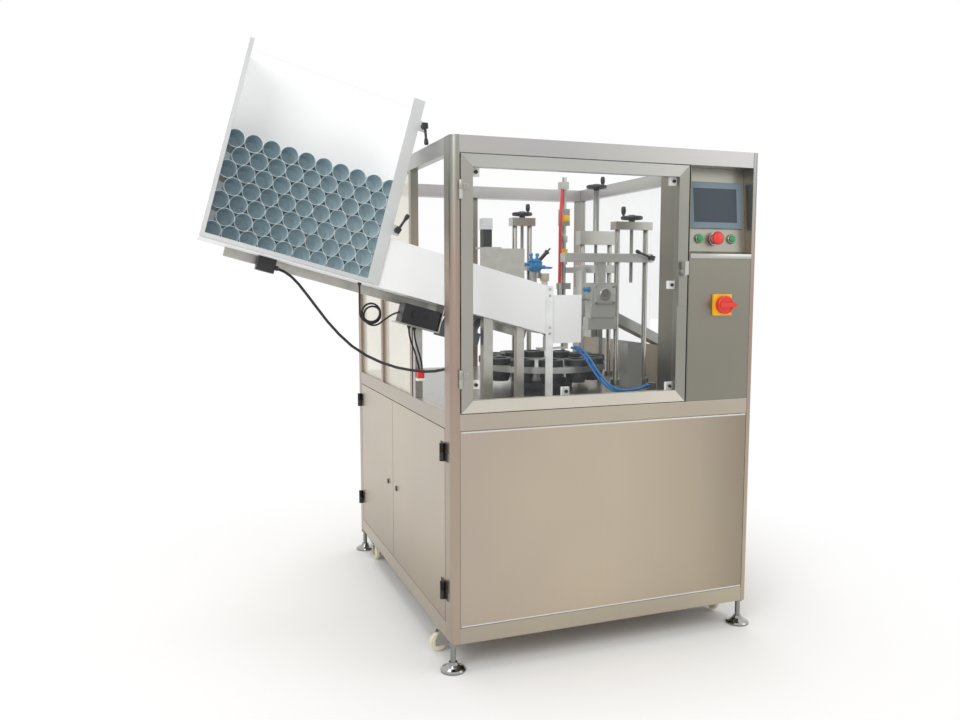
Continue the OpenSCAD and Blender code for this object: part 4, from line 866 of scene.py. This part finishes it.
# %% Screws on the clips, hinges and brackets
FRONT, LEFT = (0, -1, 0), (-1, 0, 0)
BLACK_HEAD = ("black_plastic", "black_plastic")
CLIP_CENTRES = [(-418, 809), (-418, 1381), (197, 779), (197, 1080), (197, 1381), (-145.5, 779)]
FRONT_HINGES_Z, SIDE_HINGES_Z, BAR_SCREWS_Z = (803, 1307), (201, 595), (1066, 1046, 948, 930)
CLIP_Y, FRONT_LEAF_Y, BAR_Y, SIDE_LEAF_X = -590, -602, -378, -495
for number, (x, z) in enumerate(CLIP_CENTRES):
    screw(f"clip_screw_{number}", (x, CLIP_Y, z), FRONT, "front_door", 1.1, *BLACK_HEAD)
for number, z in enumerate(FRONT_HINGES_Z):
    for step, x in enumerate((-456, -446)):
        screw(f"door_hinge_screw_{number}{step}", (x, FRONT_LEAF_Y, z + 38), FRONT, "front_door", 0.7)
for number, z in enumerate(SIDE_HINGES_Z):
    for side, body, end in ((-1, "door_front", "front"), (1, "door_rear", "rear")):
        post, leaf = (SIDE_LEAF_X, side * 558, z + 12), (SIDE_LEAF_X, side * 520, z + 38)
        screw(f"post_hinge_screw_{end}_{number}", post, LEFT, "machine", 0.8, *BLACK_HEAD)
        screw(f"leaf_hinge_screw_{end}_{number}", leaf, LEFT, body, 0.8, *BLACK_HEAD)
for number, z in enumerate(BAR_SCREWS_Z):
    screw(f"bar_screw_{number}", (-100, BAR_Y, z), FRONT, "machine", 0.9)
bpy.data.objects.remove(screw_head)

# %% [markdown]
# ## Operator panel details
# The main switch has a round red dial with a pointed lug. A bright ring frames each push button. The rings are
# flattened tori that sit on the panel, and the lug is a block with one end drawn to a point. Thin bright strips are
# painted highlights: the ledge's lip is a real fold made brighter where it catches the light from above, and two
# polished strips stand where the folded edges of the front panel catch the light.

# %% Switch dial and lug
SWITCH_X, DIAL_Y, SWITCH_Z = 364, -618.2, 1020
DIAL = [(27, 0), (27, 7), (25.5, 9), (22, 9.6), (21, 8.2), (9, 8.2)]
TO_FRONT = (90, 0, 0)
dial = turned("switch_dial", (SWITCH_X, DIAL_Y, SWITCH_Z), DIAL, 48, TO_FRONT)
settle(dial, "switch", "red_plastic")
lug = block("switch_lug", (SWITCH_X + 20, -634, SWITCH_Z - 8), (SWITCH_X + 37, -619, SWITCH_Z + 8), 1.2)
pick(lug, "VERT", lambda corner: corner.co.x > 0.004)
bpy.ops.transform.resize(value=(1, 1, 0.25), center_override=at(SWITCH_X + 37, -626, SWITCH_Z))
bpy.ops.object.mode_set(mode="OBJECT")
settle(lug, "switch", "red_plastic")
print("switch dial at", [round(v, 3) for v in at(SWITCH_X, DIAL_Y, SWITCH_Z)])

# %% Button rings, ledge lip and panel lines
PANEL_TURN, RING_WIRE, RING_Y, RING_Z = (85, 0, 0), 0.0017, -568.4, 1217.6
RINGS = {"start": (300, 12.6), "estop": (356, 16.5), "reset": (415, 12.6)}
for name, (x, wide) in RINGS.items():
    bpy.ops.object.select_all(action="DESELECT")
    bpy.ops.mesh.primitive_torus_add(
        major_segments=40, minor_segments=10, major_radius=wide / 1000, minor_radius=RING_WIRE)
    ring = from_scratch(name + "_ring")
    bpy.ops.object.mode_set(mode="EDIT")
    bpy.ops.mesh.select_all(action="SELECT")
    bpy.ops.transform.resize(value=(1, 1, 0.7))
    bpy.ops.object.mode_set(mode="OBJECT")
    ring.rotation_euler = [math.radians(v) for v in PANEL_TURN]
    ring.location = at(x, RING_Y, RING_Z)
    settle(ring, "machine", "polished")

# Painted highlights: the strips are brighter than the sheets beside them, for the light that their edges catch.
STRIPS = {
    "ledge_lip": ((250, -603, 1158), (467, -599.6, 1172), "bright_steel"),
    "panel_highlight_top": ((-464, -601.4, 679), (464, -599.8, 683), "polished"),
    "panel_highlight_bottom": ((-464, -601.4, 133), (464, -599.8, 137), "polished"),
}
for name, (low, high, finish) in STRIPS.items():
    settle(block(name, low, high, 0.6), "machine", finish)
print("rings:", list(RINGS), "and strips:", list(STRIPS))

# %% [markdown]
# ## Pneumatics on the press arm
# The press arm carries the air valve in the photograph: a blue body with push-in elbows, a pale solenoid beside
# it and a black cylinder that points up to the stand. They ride with the press carriage. A yellow sleeve and a
# yellow cap mark the clamps on the valve stand.

# %% Valve, elbows, solenoid and sleeves
coated("valve_blue", tone(64, 148, 204), 0.3)
coated("solenoid", tone(214, 206, 186), 0.5)
valve = block("air_valve", (8, 20, 1128), (52, 51.6, 1164), 2.5, 3)
pick(valve, "FACE", lambda face: abs(face.normal.z) > 0.95 or face.normal.y < -0.95)
bpy.ops.mesh.inset(thickness=0.006, use_individual=True)
bpy.ops.mesh.extrude_region_shrink_fatten(TRANSFORM_OT_shrink_fatten={"value": 0.005})
bpy.ops.object.mode_set(mode="OBJECT")
settle(valve, "press", "valve_blue")
BARB = [(6.5, 0), (6.5, 5), (5, 6), (5, 11), (7, 12), (7, 19), (6, 20.5), (4, 20.5)]
BARBS = [((19, 36, 1168), (4, -8, 0)), ((40, 36, 1168), (-4, 8, 0)),
         ((8.5, 36, 1150), (0, -90, 0)), ((51.5, 34, 1140), (0, 90, 0))]
for number, (place, turn) in enumerate(BARBS):
    settle(turned(f"valve_elbow_{number}", place, BARB, 24, turn), "press", "valve_blue")
PLUG = [(9, 0), (9, 3), (8, 4), (5, 4), (5, 2)]
settle(turned("valve_plug", (30, 15.4, 1146), PLUG, 6, TO_FRONT), "press", "valve_blue")
settle(block("valve_solenoid", (59, 24, 1090), (84, 50, 1118), 1.5), "press", "solenoid")
settle(block("solenoid_stay", (44, 44, 1100), (60, 51, 1129), 1), "press", "bright_steel")
COIL_CAN = [(11, 0), (11, -20), (9, -22), (4, -22), (4, -27)]
settle(turned("solenoid_coil", (71, 37, 1090.2), COIL_CAN, 24), "press", "white_plastic")
CYLINDER = [(9, 0), (9, 4), (7, 5), (7, 44), (9, 45), (9, 51), (3, 52), (3, 66)]
settle(turned("valve_cylinder", (50, 44, 1160), CYLINDER, 28, (0, 44, 0)), "press", "black_plastic")
SLEEVE = [(13.4, 0), (15, 1), (15, 9), (14, 10), (14, 13), (15, 14), (15, 21), (13.4, 22)]
settle(turned("collar_sleeve", (165, 75, 1185), SLEEVE, 32), "machine", "yellow_plastic")
settle(block("stand_clamp_cap", (150, 55.5, 1306), (180, 58.9, 1328), 1.2), "machine", "yellow_plastic")

# %% [markdown]
# ## Crimp head
# The crimp head is a gearbox-like block with a bolted front plate, a round bearing cover, a foot plate, an air
# fitting and a spring rod. They are modelled here on the block's front and left faces and move with it.

# %% Crimp head details
settle(block("crimp_front_plate", (160, -177, 1012), (240, -171.2, 1078), 1.2), "crimp", "cast_head")
BOLT = [(5, 0), (5, 4), (4.4, 4.8), (2.4, 4.8), (2.4, 2.4)]
for number, (x, z) in enumerate([(166, 1018), (234, 1018), (166, 1072), (234, 1072)]):
    settle(turned(f"crimp_bolt_{number}", (x, -177, z), BOLT, 16, TO_FRONT), "crimp", "bright_steel")
COVER = [(21, 0), (21, 5), (19, 6.5), (12, 6.5), (11, 5), (6, 5), (5, 7)]
cover = turned("crimp_bearing_cover", (200, -177, 1045), COVER, 36, TO_FRONT)
settle(cover, "crimp", "bright_steel")
settle(block("crimp_foot_plate", (150, -170.5, 968), (246, -166.4, 1002), 0.8), "crimp", "bright_steel")
TO_LEFT = (0, -90, 0)
FITTING = [(9, 0), (9, 6), (6, 7), (6, 14), (8, 15), (8, 22), (5, 23)]
settle(turned("crimp_fitting", (153.6, -150, 1062), FITTING, 20, TO_LEFT), "crimp", "valve_blue")
SPRING_ROD = [(7, 0), (7, 4), (4, 5), (4, 26), (7, 27), (7, 31)]
spring_rod = turned("crimp_spring_rod", (153.6, -146, 1028), SPRING_ROD, 20, TO_LEFT)
settle(spring_rod, "crimp", "bright_steel")

# %% [markdown]
# ## Feeder wiring
# Under the chute a spare length of sensor cable hangs in a coil, and two short leads drop from the feed
# controller to a red plug on the deck. Each is one open spline with round section.

# %% Coil of spare cable
def smooth_route(points, steps):
    """Points of a smooth curve through a route, a Catmull-Rom spline."""
    ends = [points[0]] + list(points) + [points[-1]]
    out = []
    for four in zip(ends, ends[1:], ends[2:], ends[3:]):
        for step in range(steps):
            s = step / steps
            out.append(tuple(
                0.5 * (2 * q + (r - p) * s + (2 * p - 5 * q + 4 * r - w) * s * s + (3 * q - p - 3 * r + w) * s ** 3)
                for p, q, r, w in zip(*four)))
    out.append(tuple(points[-1]))
    return out


def spare_cord(name, route, radius_mm, finish, body="machine"):
    """Thin cord that is only in the scene. Its material slot has the name of its finish."""
    dress(lay_cord(name, route, radius_mm, body=body, roundness=3), finish)


COIL_STEPS, COIL_STEP_DEGREES, COIL_RADIUS, COIL_SWELL = 68, 18, 27, 3
COIL_MIDDLE, COIL_DRIFT = (-654, -330, 1002), (0.26, 0.3, -0.16)
GLAND = [(6, 0), (6, -5), (4.4, -6), (3.2, -12)]
coil = [(-681, -330, 1086), (-681, -330, 1068), (-681, -330, 1048), (-681, -330, 1026)]
for step in range(COIL_STEPS):
    turn = math.radians(180 + step * COIL_STEP_DEGREES)
    wide = COIL_RADIUS + COIL_SWELL * math.sin(step * 0.21)
    x, y, z = (start + drift * step for start, drift in zip(COIL_MIDDLE, COIL_DRIFT))
    coil.append((x + wide * math.cos(turn), y, z + wide * math.sin(turn)))
coil += [(-608, -312, 975), (-597, -317, 984), (-586, -325, 992), (-574, -331, 998), (-563, -334, 1001)]
settle(turned("coil_gland", (-681, -330, 1087), GLAND, 20), "machine", "black_plastic")
spare_cord("spare_cable", smooth_route(coil, 3), 2.7, "cable_rubber")
print("coil of", (COIL_STEPS - 1) * COIL_STEP_DEGREES // 360, "turns")

# %% Leads and plug
LEADS = [
    [(-536, -334, 952), (-535, -333, 938), (-529, -326, 917), (-517, -312, 893), (-505, -295, 870),
     (-495, -277, 849), (-487, -263, 833), (-484, -257, 822)],
    [(-516, -320, 946), (-515, -319, 932), (-509, -311, 910), (-500, -300, 888), (-490, -287, 866),
     (-482, -273, 848), (-476, -262, 833), (-474, -257, 822)],
]
LEAD_GLAND = [(6, 0), (6, -4), (4.4, -5), (3.4, -10)]
for number, route in enumerate(LEADS):
    spare_cord(f"controller_lead_{number}", smooth_route(route, 4), 2.6, "cable_rubber")
    x, y, z = route[0]
    settle(turned(f"lead_gland_{number}", (x, y, z + 8), LEAD_GLAND, 20), "machine", "black_plastic")
settle(block("lead_plug", (-490, -264, 794), (-468, -242.6, 821), 2), "machine", "red_plastic")
settle(block("plug_base", (-491, -263, 785), (-467, -242.4, 793.6), 1), "machine", "white_plastic")
print(len(LEADS), "leads to the red plug")

# %% [markdown]
# The blue hose on the deck is a pair: its second strand lies beside the first and ends at the same fitting. A
# thin hose joins the air valve with the press arm's side and rides with it.

# %% Second air hose and valve hose
SECOND_END = [(255, -351, 748), (266, -350.5, 750.5), (274.5, -350, 751)]
second = [(x + 8, y - 8, z + 4) for x, y, z in AIR_ROUTE[:-3]] + SECOND_END
spare_cord("second_air_line", second, 4, "blue_hose")
VALVE_LOOP = [(71.5, 34, 1140), (84, 34, 1140), (97, 38, 1139), (106, 48, 1138), (107, 61, 1137), (99, 72, 1136),
              (86, 77, 1136), (72, 78, 1136), (58.4, 78, 1136)]
spare_cord("valve_hose", smooth_route(VALVE_LOOP, 4), 2.2, "blue_hose", "press")
